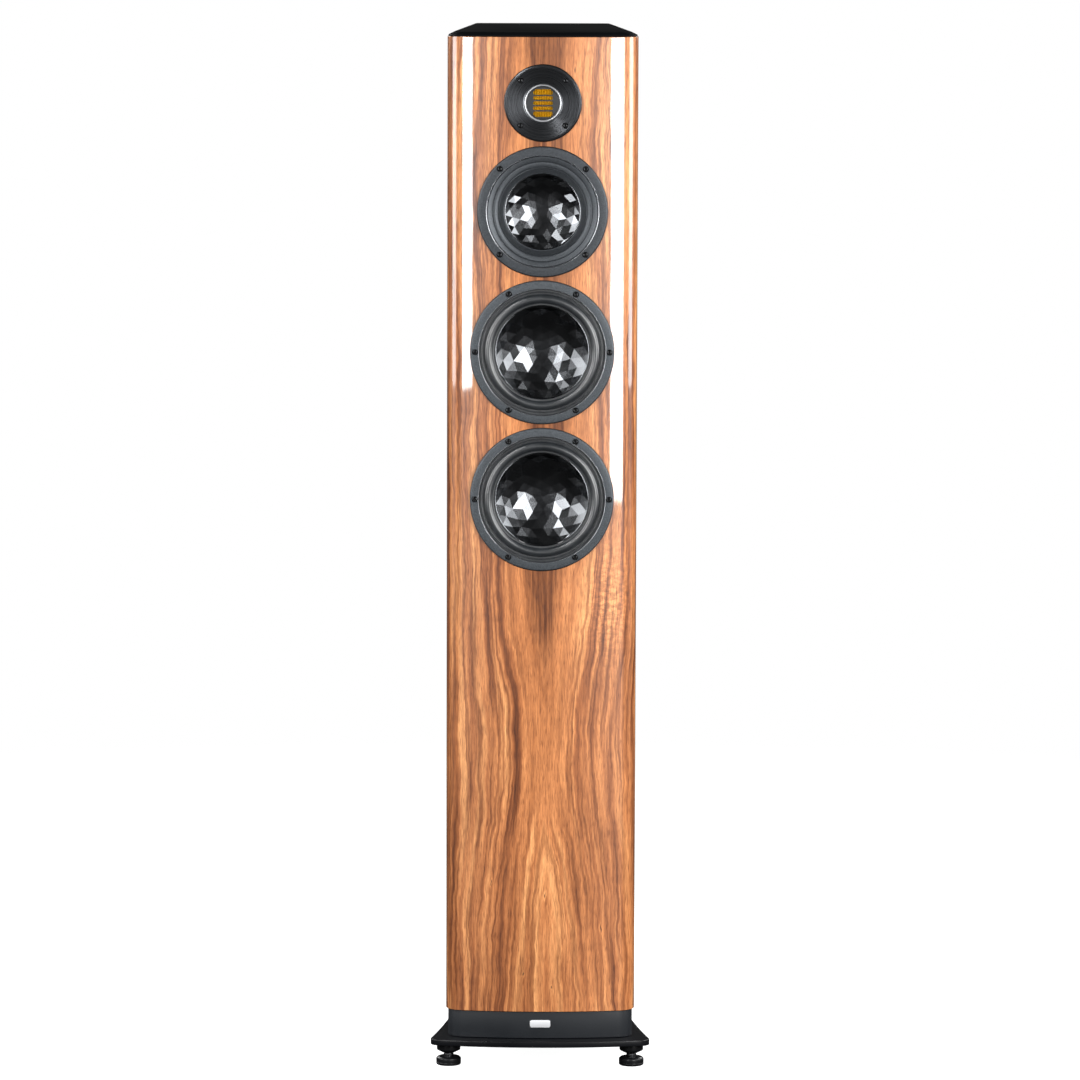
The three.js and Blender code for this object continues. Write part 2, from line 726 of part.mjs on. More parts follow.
function addTweeter() {
  const place = [0, TWEETER.front, TWEETER.height];
  const { radius, thickness, edgeWidth, edgeDepth, spigotRadius, spigotDepth, boreRadius } = TWEETER;
  add('tweeter_faceplate', turned([
    [boreRadius, 0], [radius - edgeWidth, 0], [radius, edgeDepth], [radius, thickness],
    [spigotRadius, thickness], [spigotRadius, spigotDepth], [boreRadius, spigotDepth],
  ], ROUND), FINISH.darkFlange, place);
  add('tweeter_trim_ring',
    ring(TWEETER.ringInner, TWEETER.ringRadius, -TWEETER.ringProud, TWEETER.plateRear, HIDDEN_ROUND),
    FINISH.silver, place);
  const plate = disc(TWEETER.plateRadius, TWEETER.plateFront, TWEETER.plateRear, HIDDEN_ROUND);
  add('tweeter_pole_plate', cut(plate, tweeterWindows()), FINISH.satinBlack, place);
  add('tweeter_diaphragm', foldedFoil(), FINISH.gold, place);
  add('tweeter_motor',
    disc(TWEETER.motorRadius, spigotDepth + GAP, TWEETER.motorDepth, HIDDEN_ROUND), FINISH.steel, place);
}

// ---- Ports, terminals and crossover ----

function addPort(name, height) {
  const rear = CABINET.rear + GAP;
  const mouth = rear + PORT.flangeThickness;
  const panelFront = CABINET.rear - CABINET.backBoard;
  const tubeRear = panelFront - PORT.shoulder;
  const flare = PORT.flare.map(([radius, depth]) => [radius, rear - depth]);
  add(name, turned([
    [PORT.boreRadius, PORT.tubeFront], [PORT.tubeRadius, PORT.tubeFront],
    [PORT.tubeRadius, tubeRear], [PORT.panelRadius, panelFront],
    [PORT.panelRadius, rear], [PORT.flangeRadius, rear], [PORT.flangeRadius, mouth - PORT.edge],
    [PORT.flangeRadius - PORT.edge, mouth], [PORT.mouthRadius, mouth], ...flare,
    [PORT.boreRadius, tubeRear],
  ], ROUND), FINISH.plastic, [0, 0, height]);
}

function addTerminalCup() {
  const { flangeHalf, bodyHalf, cavityHalf, floorFront, floorRear, height, spacing } = TERMINAL;
  const rear = CABINET.rear + GAP;
  const face = rear + TERMINAL.flangeThickness;
  const flange = box(-flangeHalf[0], flangeHalf[0], rear, face, -flangeHalf[1], flangeHalf[1]);
  const body = box(-bodyHalf[0], bodyHalf[0], floorFront, face, -bodyHalf[1], bodyHalf[1]);
  const cavity = box(-cavityHalf[0], cavityHalf[0], floorRear, face + 1, -cavityHalf[1], cavityHalf[1]);
  const holes = [-spacing, spacing].map((x) =>
    disc(TERMINAL.boreRadius, floorFront - 1, floorRear + 1, SMALL_ROUND).translate(x, 0, 0));
  const cup = cut(join(body, [flange]), [cavity, ...holes]);
  add('terminal_plate', cup, FINISH.plastic, [0, 0, height]);
}

// A binding post: a threaded post, the washer that clamps the wire and the cap that drives it.
function addTerminal(colour, x, finish) {
  const place = [x, 0, TERMINAL.height];
  const { floorRear, collarThickness, washerThickness, boreRadius, postRadius } = TERMINAL;
  const collarFront = floorRear + GAP;
  const collarRear = collarFront + collarThickness;
  const washerRear = collarRear + GAP + washerThickness;
  add(`terminal_post_${colour}`, turned([
    [0, TERMINAL.postFront], [postRadius, TERMINAL.postFront], [postRadius, collarFront],
    [TERMINAL.collarRadius, collarFront], [TERMINAL.collarRadius, collarRear],
    [postRadius, collarRear], [postRadius, TERMINAL.postRear], [0, TERMINAL.postRear],
  ], SMALL_ROUND), FINISH.gold, place);
  add(`terminal_washer_${colour}`,
    ring(boreRadius, TERMINAL.washerRadius, collarRear + GAP, washerRear, SMALL_ROUND),
    FINISH.gold, place);
  add(`terminal_cap_${colour}`, turned([
    [boreRadius, washerRear + GAP], [TERMINAL.capRadius, washerRear + GAP],
    [TERMINAL.capRadius, TERMINAL.capRear - 1], [TERMINAL.capRadius - 1, TERMINAL.capRear],
    [boreRadius, TERMINAL.capRear],
  ], SMALL_ROUND), finish, place);
}

function addCrossover() {
  const floor = SHELL_BOTTOM + BOARD + GAP;
  const deck = floor + CROSSOVER.boardThickness;
  const [halfX, halfY] = CROSSOVER.boardHalf;
  add('crossover_board', box(-halfX, halfX, -halfY, halfY, floor, deck), FINISH.circuit);
  const { coil, capacitor } = CROSSOVER;
  add('crossover_coil', turnedUpright([
    [coil.bore, 0], [coil.radius, 0], [coil.radius, coil.height], [coil.bore, coil.height],
  ], HIDDEN_ROUND), FINISH.copper, [coil.x, coil.y, deck + GAP]);
  const can = disc(capacitor.radius, 0, capacitor.length, SMALL_ROUND);
  const lying = [capacitor.x, capacitor.y - capacitor.length / 2, deck + GAP + capacitor.radius];
  add('crossover_capacitor', can, FINISH.plastic, lying);
}

// ---- The whole speaker ----

addCabinet();
addBadge();
addBase();
for (const [corner, place] of Object.entries(FOOT.places)) addFoot(corner, place);
for (const [name, height] of Object.entries(DRIVER_HEIGHTS)) {
  addDriver(name, name === 'midrange' ? MIDRANGE : WOOFER, height);
}
addTweeter();
for (const [name, height] of Object.entries(PORT.heights)) addPort(name, height);
addTerminalCup();
addTerminal('black', -TERMINAL.spacing, FINISH.plastic);
addTerminal('red', TERMINAL.spacing, FINISH.redPlastic);
addCrossover();

export default speaker;
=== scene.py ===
"""The looks of a three-way floorstanding loudspeaker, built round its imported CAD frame.

Lengths are metres, +Z up, front towards -Y. Profiles of turned pieces are lists of
(radius, depth, fillet) in millimetres, with depth counted back from the front of the piece.
"""

import math
import random
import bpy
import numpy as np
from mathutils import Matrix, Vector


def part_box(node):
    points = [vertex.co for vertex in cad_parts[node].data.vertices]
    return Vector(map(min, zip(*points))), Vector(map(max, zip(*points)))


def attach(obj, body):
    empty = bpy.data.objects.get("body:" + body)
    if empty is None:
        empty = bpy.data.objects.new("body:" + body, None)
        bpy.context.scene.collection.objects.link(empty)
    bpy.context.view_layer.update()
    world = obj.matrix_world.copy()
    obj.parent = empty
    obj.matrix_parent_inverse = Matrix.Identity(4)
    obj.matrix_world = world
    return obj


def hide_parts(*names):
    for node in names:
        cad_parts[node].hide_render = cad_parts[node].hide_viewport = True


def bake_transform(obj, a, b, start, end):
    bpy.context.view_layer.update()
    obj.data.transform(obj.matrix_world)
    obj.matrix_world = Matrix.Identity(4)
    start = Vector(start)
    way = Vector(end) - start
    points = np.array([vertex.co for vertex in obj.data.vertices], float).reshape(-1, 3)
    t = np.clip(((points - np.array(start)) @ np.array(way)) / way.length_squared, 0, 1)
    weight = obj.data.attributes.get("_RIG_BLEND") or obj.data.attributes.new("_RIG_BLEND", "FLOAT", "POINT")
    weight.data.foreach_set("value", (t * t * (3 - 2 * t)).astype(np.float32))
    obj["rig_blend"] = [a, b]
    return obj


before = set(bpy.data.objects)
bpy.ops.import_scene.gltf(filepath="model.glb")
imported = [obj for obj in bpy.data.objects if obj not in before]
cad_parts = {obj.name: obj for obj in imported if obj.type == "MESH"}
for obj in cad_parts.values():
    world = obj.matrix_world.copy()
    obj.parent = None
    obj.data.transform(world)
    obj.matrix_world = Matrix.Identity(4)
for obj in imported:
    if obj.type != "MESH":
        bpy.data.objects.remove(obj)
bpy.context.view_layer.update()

from types import SimpleNamespace

import bmesh
import bpy
from mathutils import Matrix, Vector

MM = 0.001
ROOT = "root"
DRIVERS = ("midrange", "woofer_upper", "woofer_lower")
CORNERS = ("fl", "fr", "rl", "rr")
PORTS = ("port_upper", "port_lower")
COLOURS = ("black", "red")
ROUND_SEGMENTS = 128
HIDDEN_SEGMENTS = 64
SCREW_SEGMENTS = 32

WEIGHTS = "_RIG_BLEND"

# The plan of the cabinet, in millimetres, as in the CAD model.
BOW_RADIUS = 460
BOW_HALF_WIDTH = 90
CROWN_Y = -155
REAR_Y = 155
SIDE_START = (109.7, -115)
REAR_HALF_WIDTH = 86
REAR_CORNER = 14
SIDE_BOARD = 16
INNER_FRONT_Y = -128

# The plan of the base plate, in millimetres, as in the CAD model.
PLATE_BOW_RADIUS = 560
PLATE_BOW_HALF_WIDTH = 113.5
PLATE_CORNER = (129.6, -158.4)
PLATE_SIDE_START = (127.1, -144.4)
PLATE_WAIST = (104, -20)
PLATE_REAR_HALF_WIDTH = 92
PLATE_REAR_CORNER = 12

# The walnut leaf, in metres: pin knots as (across, up, size), the pith, and the waist of the figure.
KNOTS = (
    (0.003, 0.204, 0.0014), (0.071, 0.160, 0.0019), (-0.057, 0.218, 0.0013), (-0.022, 0.110, 0.0012),
    (0.012, 0.094, 0.0012), (0.040, 1.165, 0.0018), (-0.21, 0.62, 0.0017), (0.25, 0.86, 0.0016),
)
PITH_ACROSS = 0.005
PITH_DEPTH = 0.006
WAIST_HEIGHT = 0.369
WAIST_SPREAD = 0.15
WAIST_REACH = 0.08
WAIST_PINCH = 0.027
KNOT_STRETCH = 0.45
KNOT_PUSH = 0.006
SLOW_WAVE = 0.016
RIPPLE = 0.005
TEAR = 0.018
HEART_TOP = (0.24, 0.31)
HEART_EDGE = (0.040, 0.056)
FLAME_FOOT = (0.43, 0.52)
FLAME_EDGE = (0.0185, 0.031)
# The patch of painted sheen on the curly figure, as (across, width, up, spread), and the shade at the left
# edge.
CURLY_SHEEN_PATCH = (0.078, 0.02, 0.545, 0.055)
SHADE = 0.76
SHADE_ACROSS = (-0.125, -0.03)
WALNUT_BANDS = [
    (0.30, (0.20, 0.062, 0.020)),
    (0.42, (0.42, 0.145, 0.047)),
    (0.54, (0.66, 0.26, 0.092)),
    (0.68, (0.90, 0.42, 0.165)),
]

# Copper wire: its colour and its pitch in metres.
COPPER = (0.72, 0.30, 0.12)
WIRE_PITCH = 0.0006

# Camera, in metres and degrees, and its lens in millimetres.
CAMERA_PLACE = (-0.0158, -8.0, 1.495)
CAMERA_PITCH = 6.38
CAMERA_TURN = 0.102
CAMERA_ROLL = 0.18
LENS = 227.7

# Strength of the surround and the floor.
SURROUND_GLOW = 0.045
FLOOR_GLOW = 0.95
FLOOR_RADIUS = 2.6
FLOOR_LEVEL = -0.0085

# Each seat in the front, in millimetres: its depth behind the front of its flange, and its cutout's radius.
SEATS = {
    "tweeter_faceplate": (4.2, 36), "midrange_basket": (7.3, 66), "woofer_upper_basket": (8.6, 73.5),
    "woofer_lower_basket": (8.6, 73.5),
}

# Radii, depths behind the flange's front and widths, in millimetres; the first screw's angle is in degrees.
WOOFER = SimpleNamespace(
    flange=83, inner=72.6, thickness=8.6, wall=73.0, wall_depth=16, ring=46, ring_front=56, ring_rear=62,
    coil=19.4, coil_depth=74, spider=44, spider_depth=43.8, magnet=48, magnet_depth=84, yoke=6, window=50,
    cone=54.3, sag=23, half_axis=64, screws=6, screw_radius=77.4, screw_first=30, screw_recess=3.9,
)
MIDRANGE = SimpleNamespace(
    flange=75.25, inner=64, thickness=7.3, wall=65.5, wall_depth=14, ring=39, ring_front=43, ring_rear=48,
    coil=15.6, coil_depth=57, spider=36, spider_depth=34.8, magnet=40, magnet_depth=64, yoke=5, window=42,
    cone=44, sag=16, half_axis=52, screws=4, screw_radius=69.8, screw_first=45, screw_recess=3.9,
)
LIP_DEPTH = 3.8
WALL_THICKNESS = 4.5
EDGE_WIDTH = 1.1
# Facets: how finely the cone's net is cut, how many rows reach the rim, how far the net is turned, how
# uneven it is in plan (in edges) and in depth (mm), where its folds begin (in radii) and their depth (mm).
FACET_FREQUENCY = 8
FACET_ROWS = 5.5
NET_TURN = 0.35
NET_SHAKE = 0.13
FACET_PLAY = 0.15
FOLD_START = 0.45
FOLD_AT_RIM = 2.3
CONE_THICKNESS = 1.0
CONE_SEEDS = {"midrange": 3, "woofer_upper": 5, "woofer_lower": 8}

# The rings cut into the tweeter's plate: how many, and their pitch and depth in millimetres.
GROOVES = 18
GROOVE_PITCH = 1.03
GROOVE_DEPTH = 0.44

# Name, place, what it faces, width, height and watts of each light.
LIGHTS = (
    ("softbox_left", (-1.40, -2.87, 1.14), (0, -0.1, 1.0), 0.56, 1.24, 46),
    ("softbox_right", (1.49, -2.82, 1.10), (0, -0.1, 1.0), 0.80, 1.52, 82),
    ("side_left", (-2.35, -0.55, 1.45), (0, -0.05, 0.9), 1.3, 1.8, 56),
    ("side_right", (2.35, -0.55, 1.45), (0, -0.05, 0.9), 1.3, 1.8, 66),
    ("key_high", (-1.5, -1.9, 3.0), (0, -0.15, 0.9), 0.7, 0.7, 30),
    ("rear_-1", (-2.1, 2.3, 2.1), (0, 0, 0.7), 1.2, 1.6, 45),
    ("rear_1", (2.1, 2.3, 2.1), (0, 0, 0.7), 1.2, 1.6, 45),
)


# ---- Materials ----


class Look:
    """A material whose nodes are added one call at a time."""

    def __init__(self, name, **inputs):
        self.name = name
        self.material = bpy.data.materials.new(name)
        self.material.use_nodes = True
        self.tree = self.material.node_tree
        self.shader = self.tree.nodes["Principled BSDF"]
        self.set(**inputs)

    def plug(self, target, value):
        """Links a socket, or sets a plain value, a colour of three numbers getting its alpha."""
        if isinstance(value, bpy.types.NodeSocket):
            self.tree.links.new(value, target)
        elif target.type == "RGBA" and len(value) == 3:
            target.default_value = (*value, 1)
        else:
            target.default_value = value

    def set(self, **inputs):
        for name, value in inputs.items():
            self.plug(self.shader.inputs[name.replace("_", " ")], value)
        return self

    def node(self, kind, output=0, settings=None, **inputs):
        """Adds a node and returns one of its outputs."""
        node = self.tree.nodes.new(kind)
        for name, value in (settings or {}).items():
            setattr(node, name, value)
        for name, value in inputs.items():
            key = int(name[1:]) if name[0] == "i" and name[1:].isdigit() else name.replace("_", " ")
            self.plug(node.inputs[key], value)
        return node.outputs[output]

    def coords(self):
        return self.node("ShaderNodeTexCoord", "Object")

    def stretch(self, vector, scale, offset=(0, 0, 0)):
        return self.node("ShaderNodeMapping", Vector=vector, Scale=scale, Location=offset)

    def noise(self, vector, scale=1.0, detail=2.0, roughness=0.5):
        return self.node("ShaderNodeTexNoise", "Fac", Vector=vector, Scale=scale, Detail=detail,
                         Roughness=roughness)

    def wave(self, vector, direction, scale):
        settings = {"bands_direction": direction}
        return self.node("ShaderNodeTexWave", "Fac", settings, Vector=vector, Scale=scale)

    def math(self, operation, first, second=0.0):
        return self.node("ShaderNodeMath", settings={"operation": operation}, i0=first, i1=second)

    def add(self, first, second):
        return self.math("ADD", first, second)

    def times(self, first, second):
        return self.math("MULTIPLY", first, second)

    def remap(self, value, low, high, to_low, to_high):
        return self.node("ShaderNodeMapRange", Value=value, From_Min=low, From_Max=high,
                         To_Min=to_low, To_Max=to_high)

    def mix(self, factor, first, second, blend="MIX"):
        settings = {"data_type": "RGBA", "blend_type": blend}
        return self.node("ShaderNodeMix", 2, settings, i0=factor, i6=first, i7=second)

    def ramp(self, factor, *stops):
        """Stops are (position, colour)."""
        output = self.node("ShaderNodeValToRGB", Fac=factor)
        elements = output.node.color_ramp.elements
        while len(elements) < len(stops):
            elements.new(1.0)
        for element, (position, colour) in zip(elements, stops):
            element.position = position
            element.color = (*colour, 1)
        return output

    def tint(self, field, *stops):
        return self.set(Base_Color=self.ramp(field, *stops))

    def gloss(self, field, low, high):
        """Roughness that follows a noise."""
        return self.set(Roughness=self.remap(field, 0.3, 0.7, low, high))

    def bump(self, height, distance, strength=1.0):
        slope = self.node("ShaderNodeBump", Height=height, Distance=distance, Strength=strength)
        return self.set(Normal=slope)


def scaled(colour, factor, lift=0.0):
    return tuple(min(1, channel * factor + lift) for channel in colour)


def painted(name, colour, roughness, speckle=0.25, bump=0.00002, scale=1800, **inputs):
    """Lacquer or moulded plastic: a fine texture, slow changes of gloss and a touch of dust."""
    look = Look(name, **inputs)
    place = look.coords()
    fine = look.noise(place, scale, 3.0, 0.6)
    broad = look.noise(place, 14, 3.0)
    dark, light = scaled(colour, 1 - speckle), scaled(colour, 1 + speckle, 0.001)
    look.tint(look.mix(0.5, fine, broad), (0.3, dark), (0.7, light))
    look.gloss(broad, roughness * 0.85, roughness * 1.15)
    return look.bump(fine, bump)


def turned_metal(name, colour, roughness, pitch=0.0006, metallic=1.0):
    """Metal cut on a lathe: fine rings round the piece's own Y axis."""
    look = Look(name, Metallic=metallic)
    place = look.coords()
    flat = look.node("ShaderNodeVectorMath", settings={"operation": "MULTIPLY"}, i0=place, i1=(1, 0, 1))
    radius = look.node("ShaderNodeVectorMath", "Value", {"operation": "LENGTH"}, i0=flat)
    rings = look.node("ShaderNodeTexNoise", "Fac", {"noise_dimensions": "1D"}, Scale=1.0, Detail=1.0,
                      W=look.times(radius, 1 / pitch))
    height = look.mix(0.25, rings, look.noise(place, 2600, 2.0, 0.6))
    look.tint(height, (0.3, scaled(colour, 0.88)), (0.7, scaled(colour, 1.12)))
    look.gloss(rings, roughness * 0.85, roughness * 1.2)
    return look.bump(height, 0.00001)


def walnut_veneer():
    """Upright walnut under clear lacquer. U runs round the cabinet from the middle of the front, V up it."""
    look = Look("walnut_veneer")
    sheet = look.node("ShaderNodeUVMap", settings={"uv_map": "veneer"})
    split = look.node("ShaderNodeSeparateXYZ", 0, Vector=sheet).node
    across, along = split.outputs[0], split.outputs[1]
    shade = look.remap(across, *SHADE_ACROSS, SHADE, 1.0)

    def grain(scale, detail, roughness=0.5, offset=(0, 0)):
        """Noise on the leaf, with its scales across and along it."""
        return look.noise(look.stretch(sheet, (*scale, 1), (*offset, 0)), 1.0, detail, roughness)

    def off(value, centre, width):
        """How many widths a value lies from a centre, squared."""
        return look.math("POWER", look.math("DIVIDE", look.math("SUBTRACT", value, centre), width), 2)

    def hill(middle, width, height, spread):
        """A smooth hill on the leaf, 1 at its top."""
        away = look.add(off(across, middle, width), off(along, height, spread))
        return look.math("EXPONENT", look.times(away, -1.0))

    def rings(spacing, sideways, upright, detail):
        """Noise that runs along the rings and slowly changes over the leaf."""
        place = look.node("ShaderNodeCombineXYZ", 0, X=look.math("DIVIDE", ring, spacing),
                          Y=look.times(across, sideways), Z=look.times(along, upright))
        return look.noise(place, 1.0, detail, 0.6)

    # The leaf wanders: fine fibres tear its lines and slow waves bend them.
    slow = grain((7, 2.6), 2.0)
    torn = grain((230, 9), 3.0, 0.6, (3, 0))
    ripple = grain((30, 22), 3.0, offset=(11, 4))
    across = look.add(across, look.remap(slow, 0, 1, -SLOW_WAVE, SLOW_WAVE))
    across = look.add(across, look.remap(ripple, 0, 1, -RIPPLE, RIPPLE))
    along = look.add(along, look.remap(torn, 0, 1, -TEAR, TEAR))
    knots = 0.0
    for middle, height, size in KNOTS:
        away = look.math("SQRT", look.add(off(across, middle, size), off(along, height, size / KNOT_STRETCH)))
        knots = look.add(knots, look.math("EXPONENT", look.times(away, -1.0)))
    # Growth rings stand at even distances from a pith just under the leaf, and pinch in at a waist:
    # below it they close in peaks that point up, and above it in flames that point down.
    ring = look.math("SQRT", look.add(off(across, PITH_ACROSS, 1.0), PITH_DEPTH ** 2))
    pinch = hill(PITH_ACROSS, WAIST_REACH, WAIST_HEIGHT, WAIST_SPREAD)
    ring = look.add(ring, look.times(pinch, WAIST_PINCH))
    ring = look.add(ring, look.times(knots, KNOT_PUSH))
    bands = rings(0.0105, 9, 2.5, 3.0)
    lines = rings(0.0042, 22, 4, 2.0)
    streaks = grain((190, 5), 3.0, 0.6, (8, 2))
    fibre = grain((640, 46), 3.0, 0.7)
    pores = grain((1300, 75), 1.0, offset=(5, 9))
    cloud = grain((18, 6), 3.0, offset=(2, 7))
    # Its heart is plain at the waist, and shows its rings again in the peaks.
    heart = look.remap(along, *HEART_TOP, 0.85, 0.3)
    calm = look.math("MAXIMUM", heart, look.remap(ring, *HEART_EDGE, 0.3, 1.0))
    colour = look.ramp(look.add(look.times(look.math("SUBTRACT", bands, 0.5), calm), 0.52), *WALNUT_BANDS)
    for strength, field, dark_at, dark, light_at, light in (
        (look.times(calm, 0.9), lines, 0.38, (0.42, 0.34, 0.28), 0.52, (1, 1, 1)),
        (0.8, fibre, 0.34, (0.62, 0.56, 0.5), 0.62, (1.1, 1.1, 1.1)),
        (0.5, streaks, 0.36, (0.66, 0.6, 0.55), 0.56, (1.06, 1.06, 1.06)),
        (0.6, pores, 0.32, (0.34, 0.24, 0.18), 0.44, (1, 1, 1)),
        (0.7, cloud, 0.32, (0.76, 0.7, 0.64), 0.68, (1.2, 1.2, 1.2)),
    ):
        colour = look.mix(strength, colour, look.ramp(field, (dark_at, dark), (light_at, light)), "MULTIPLY")
    # A smoky flame fills the innermost rings above the waist.
    smoke = look.times(look.remap(ring, *FLAME_EDGE, 1.0, 0.0), look.remap(along, *FLAME_FOOT, 0, 1))
    smoke = look.times(smoke, look.remap(streaks, 0.38, 0.58, 1.0, 0.62))
    colour = look.mix(smoke, colour, (0.26, 0.2, 0.16), "MULTIPLY")
    # Curly figure with a painted sheen high on one side: its colour is brightened up to twice, standing in
    # for the shimmer the figure shows in the light.
    curl = grain((150, 210), 2.0, 0.6, (4, 4))
    # Painted sheen: a brightening ramp on the curl noise, laid over the patch.
    painted_sheen = look.ramp(curl, (0.42, (0.95, 0.95, 0.9)), (0.6, (1.9, 2.0, 2.0)))
    colour = look.mix(look.times(hill(*CURLY_SHEEN_PATCH), 0.9), colour, painted_sheen, "MULTIPLY")
    shadow = look.node("ShaderNodeCombineXYZ", 0, X=shade, Y=shade, Z=shade)
    colour = look.mix(1.0, colour, shadow, "MULTIPLY")
    colour = look.mix(look.remap(knots, 0.12, 0.3, 0.0, 0.35), colour, (1.5, 1.6, 1.6), "MULTIPLY")
    colour = look.mix(look.remap(knots, 0.35, 0.8, 0.0, 0.95), colour, (0.035, 0.014, 0.008))
    look.set(Base_Color=colour).gloss(fibre, 0.42, 0.32)
    look.bump(look.mix(0.5, fibre, pores), 0.00004, 0.5)
    # The lacquer lies level over the grain, but for a little orange peel.
    fibres = grain((26, 9), 2.0, offset=(1, 2))
    level = look.node("ShaderNodeBump", Height=fibres, Distance=0.0003, Strength=0.3)
    return look.set(Coat_Weight=1.0, Coat_Roughness=0.03, Coat_IOR=1.6, Coat_Normal=level)


def carbon_rubber():
    """Smooth rubber with the faint bloom and dust of a surround."""
    look = Look("surround_rubber", Specular_IOR_Level=1.0)
    place = look.coords()
    bloom = look.noise(place, 60, 4.0, 0.6)
    look.tint(bloom, (0.3, (0.009, 0.011, 0.013)), (0.7, (0.017, 0.020, 0.023))).gloss(bloom, 0.31, 0.37)
    return look.bump(look.noise(place, 3200), 0.00002)


def cone_metal():
    """Dark anodised aluminium."""
    look = Look("cone_metal", Metallic=1.0)
    place = look.coords()
    tone = look.noise(place, 45, 3.0)
    look.tint(tone, (0.3, (0.080, 0.083, 0.088)), (0.7, (0.105, 0.109, 0.115))).gloss(tone, 0.2, 0.25)
    return look.bump(look.noise(place, 2800), 0.000002)


def bead_blasted(name, colour, roughness):
    """Cast metal, bead blasted and painted: a dense speckle of tiny pits."""
    look = Look(name, Metallic=0.5, Specular_IOR_Level=0.5)
    place = look.coords()
    beads = look.node("ShaderNodeTexVoronoi", "Distance", Vector=place, Scale=1500)
    grain = look.noise(place, 900, 4.0, 0.7)
    look.tint(grain, (0.36, scaled(colour, 0.6)), (0.64, scaled(colour, 1.4)))
    look.gloss(grain, roughness * 0.9, roughness * 1.15)
    return look.bump(look.mix(0.5, beads, grain), 0.00005, 0.8)


def folded_foil():
    """Gilded film with its upright traces."""
    look = Look("foil_gold", Metallic=0.5)
    traces = look.noise(look.stretch(look.coords(), (300, 300, 1400)), 5.0)
    look.tint(traces, (0.38, (0.50, 0.28, 0.010)), (0.6, (0.98, 0.66, 0.025))).gloss(traces, 0.26, 0.42)
    return look.bump(traces, 0.00006, 0.7)


def woven_cloth():
    look = Look("spider_cloth", Roughness=0.9)
    place = look.coords()
    weave = look.mix(1.0, look.wave(place, "X", 420), look.wave(place, "Z", 420), "MULTIPLY")
    return look.tint(weave, (0.2, (0.28, 0.17, 0.06)), (0.8, (0.62, 0.46, 0.2))).bump(weave, 0.0002)


def wound_copper():
    """Enamelled wire wound round the piece's own Y axis, with painted shade in the grooves between its turns.
    """
    look = Look("copper_winding", Metallic=0.9)
    place = look.coords()
    turns = look.wave(place, "Y", 0.16 / WIRE_PITCH)
    tone = look.noise(place, 90)
    # Painted shade: the copper drops to about a third of its colour in the grooves between the turns.
    wire_with_painted_shade = look.ramp(turns, (0.1, scaled(COPPER, 0.35)), (0.6, COPPER))
    return look.set(Base_Color=look.mix(0.2, wire_with_painted_shade, tone)).gloss(tone, 0.25, 0.4).bump(turns, 0.0002)


def raw_fibreboard():
    look = Look("inner_board", Roughness=0.9)
    fibres = look.noise(look.stretch(look.coords(), (1, 1, 2.5)), 700, 5.0, 0.7)
    return look.tint(fibres, (0.35, (0.22, 0.15, 0.09)), (0.65, (0.44, 0.33, 0.22))).bump(fibres, 0.0002)


def circuit_board():
    look = Look("circuit_board", Roughness=0.45)
    settings = {"distance": "CHEBYCHEV"}
    cells = look.node("ShaderNodeTexVoronoi", "Distance", settings, Vector=look.coords(), Scale=120)
    return look.tint(cells, (0.28, (0.02, 0.12, 0.05)), (0.34, (0.05, 0.26, 0.1))).bump(cells, 0.0001)


LOOKS = {look.name: look for look in (
    walnut_veneer(),
    painted("rear_black", (0.02, 0.02, 0.022), 0.42, scale=900, bump=0.00006),
    raw_fibreboard(),
    painted("top_black", (0.002, 0.0024, 0.003), 0.5, Specular_IOR_Level=0.06),
    painted("plinth_grey", (0.009, 0.011, 0.014), 0.5, scale=1200, bump=0.00004, Specular_IOR_Level=0.35),
    painted("badge_metal", (0.78, 0.79, 0.81), 0.55, 0.08, Metallic=0.7),
    painted("base_black", (0.0035, 0.0038, 0.005), 0.3, Specular_IOR_Level=0.3),
    painted("foot_pad_black", (0.004, 0.0042, 0.005), 0.33, Specular_IOR_Level=0.3),
    painted("foot_steel", (0.10, 0.10, 0.105), 0.32, Metallic=1.0),
    painted("foot_bush_black", (0.004, 0.0042, 0.005), 0.3, Specular_IOR_Level=0.3),
    bead_blasted("midrange_flange", (0.040, 0.045, 0.051), 0.42),
    bead_blasted("midrange_band", (0.050, 0.056, 0.063), 0.42),
    bead_blasted("woofer_flange", (0.056, 0.064, 0.072), 0.44),
    painted("polished_edge", (0.40, 0.41, 0.43), 0.32, 0.05, Metallic=1.0),
    painted("screw_black", (0.03, 0.031, 0.033), 0.2, Metallic=0.85),
    carbon_rubber(),
    cone_metal(),
    wound_copper(),
    woven_cloth(),
    painted("ferrite", (0.03, 0.03, 0.032), 0.75, scale=500, bump=0.0001),
    turned_metal("motor_steel", (0.45, 0.45, 0.44), 0.3),
    turned_metal("tweeter_plate", (0.06, 0.063, 0.068), 0.3, 0.0009, 0.9),
    painted("trim_silver", (0.55, 0.56, 0.58), 0.42, 0.03, Metallic=0.8),
    painted("pole_black", (0.010, 0.011, 0.012), 0.5),
    folded_foil(),
    painted("port_plastic", (0.014, 0.014, 0.015), 0.5, scale=1400, bump=0.00008),
    painted("terminal_plastic", (0.014, 0.014, 0.015), 0.45, scale=1400, bump=0.00008),
    turned_metal("terminal_gold", (0.86, 0.62, 0.25), 0.2),
    painted("cap_black", (0.012, 0.012, 0.013), 0.25, Coat_Weight=0.5),
    painted("cap_red", (0.42, 0.010, 0.012), 0.25, Coat_Weight=0.5),
    circuit_board(),
    painted("capacitor_sleeve", (0.02, 0.025, 0.05), 0.3, Coat_Weight=0.3),
)}


# ---- Meshes ----


def place_object(name, data):
    thing = bpy.data.objects.new(name, data)
    bpy.context.scene.collection.objects.link(thing)
    return thing


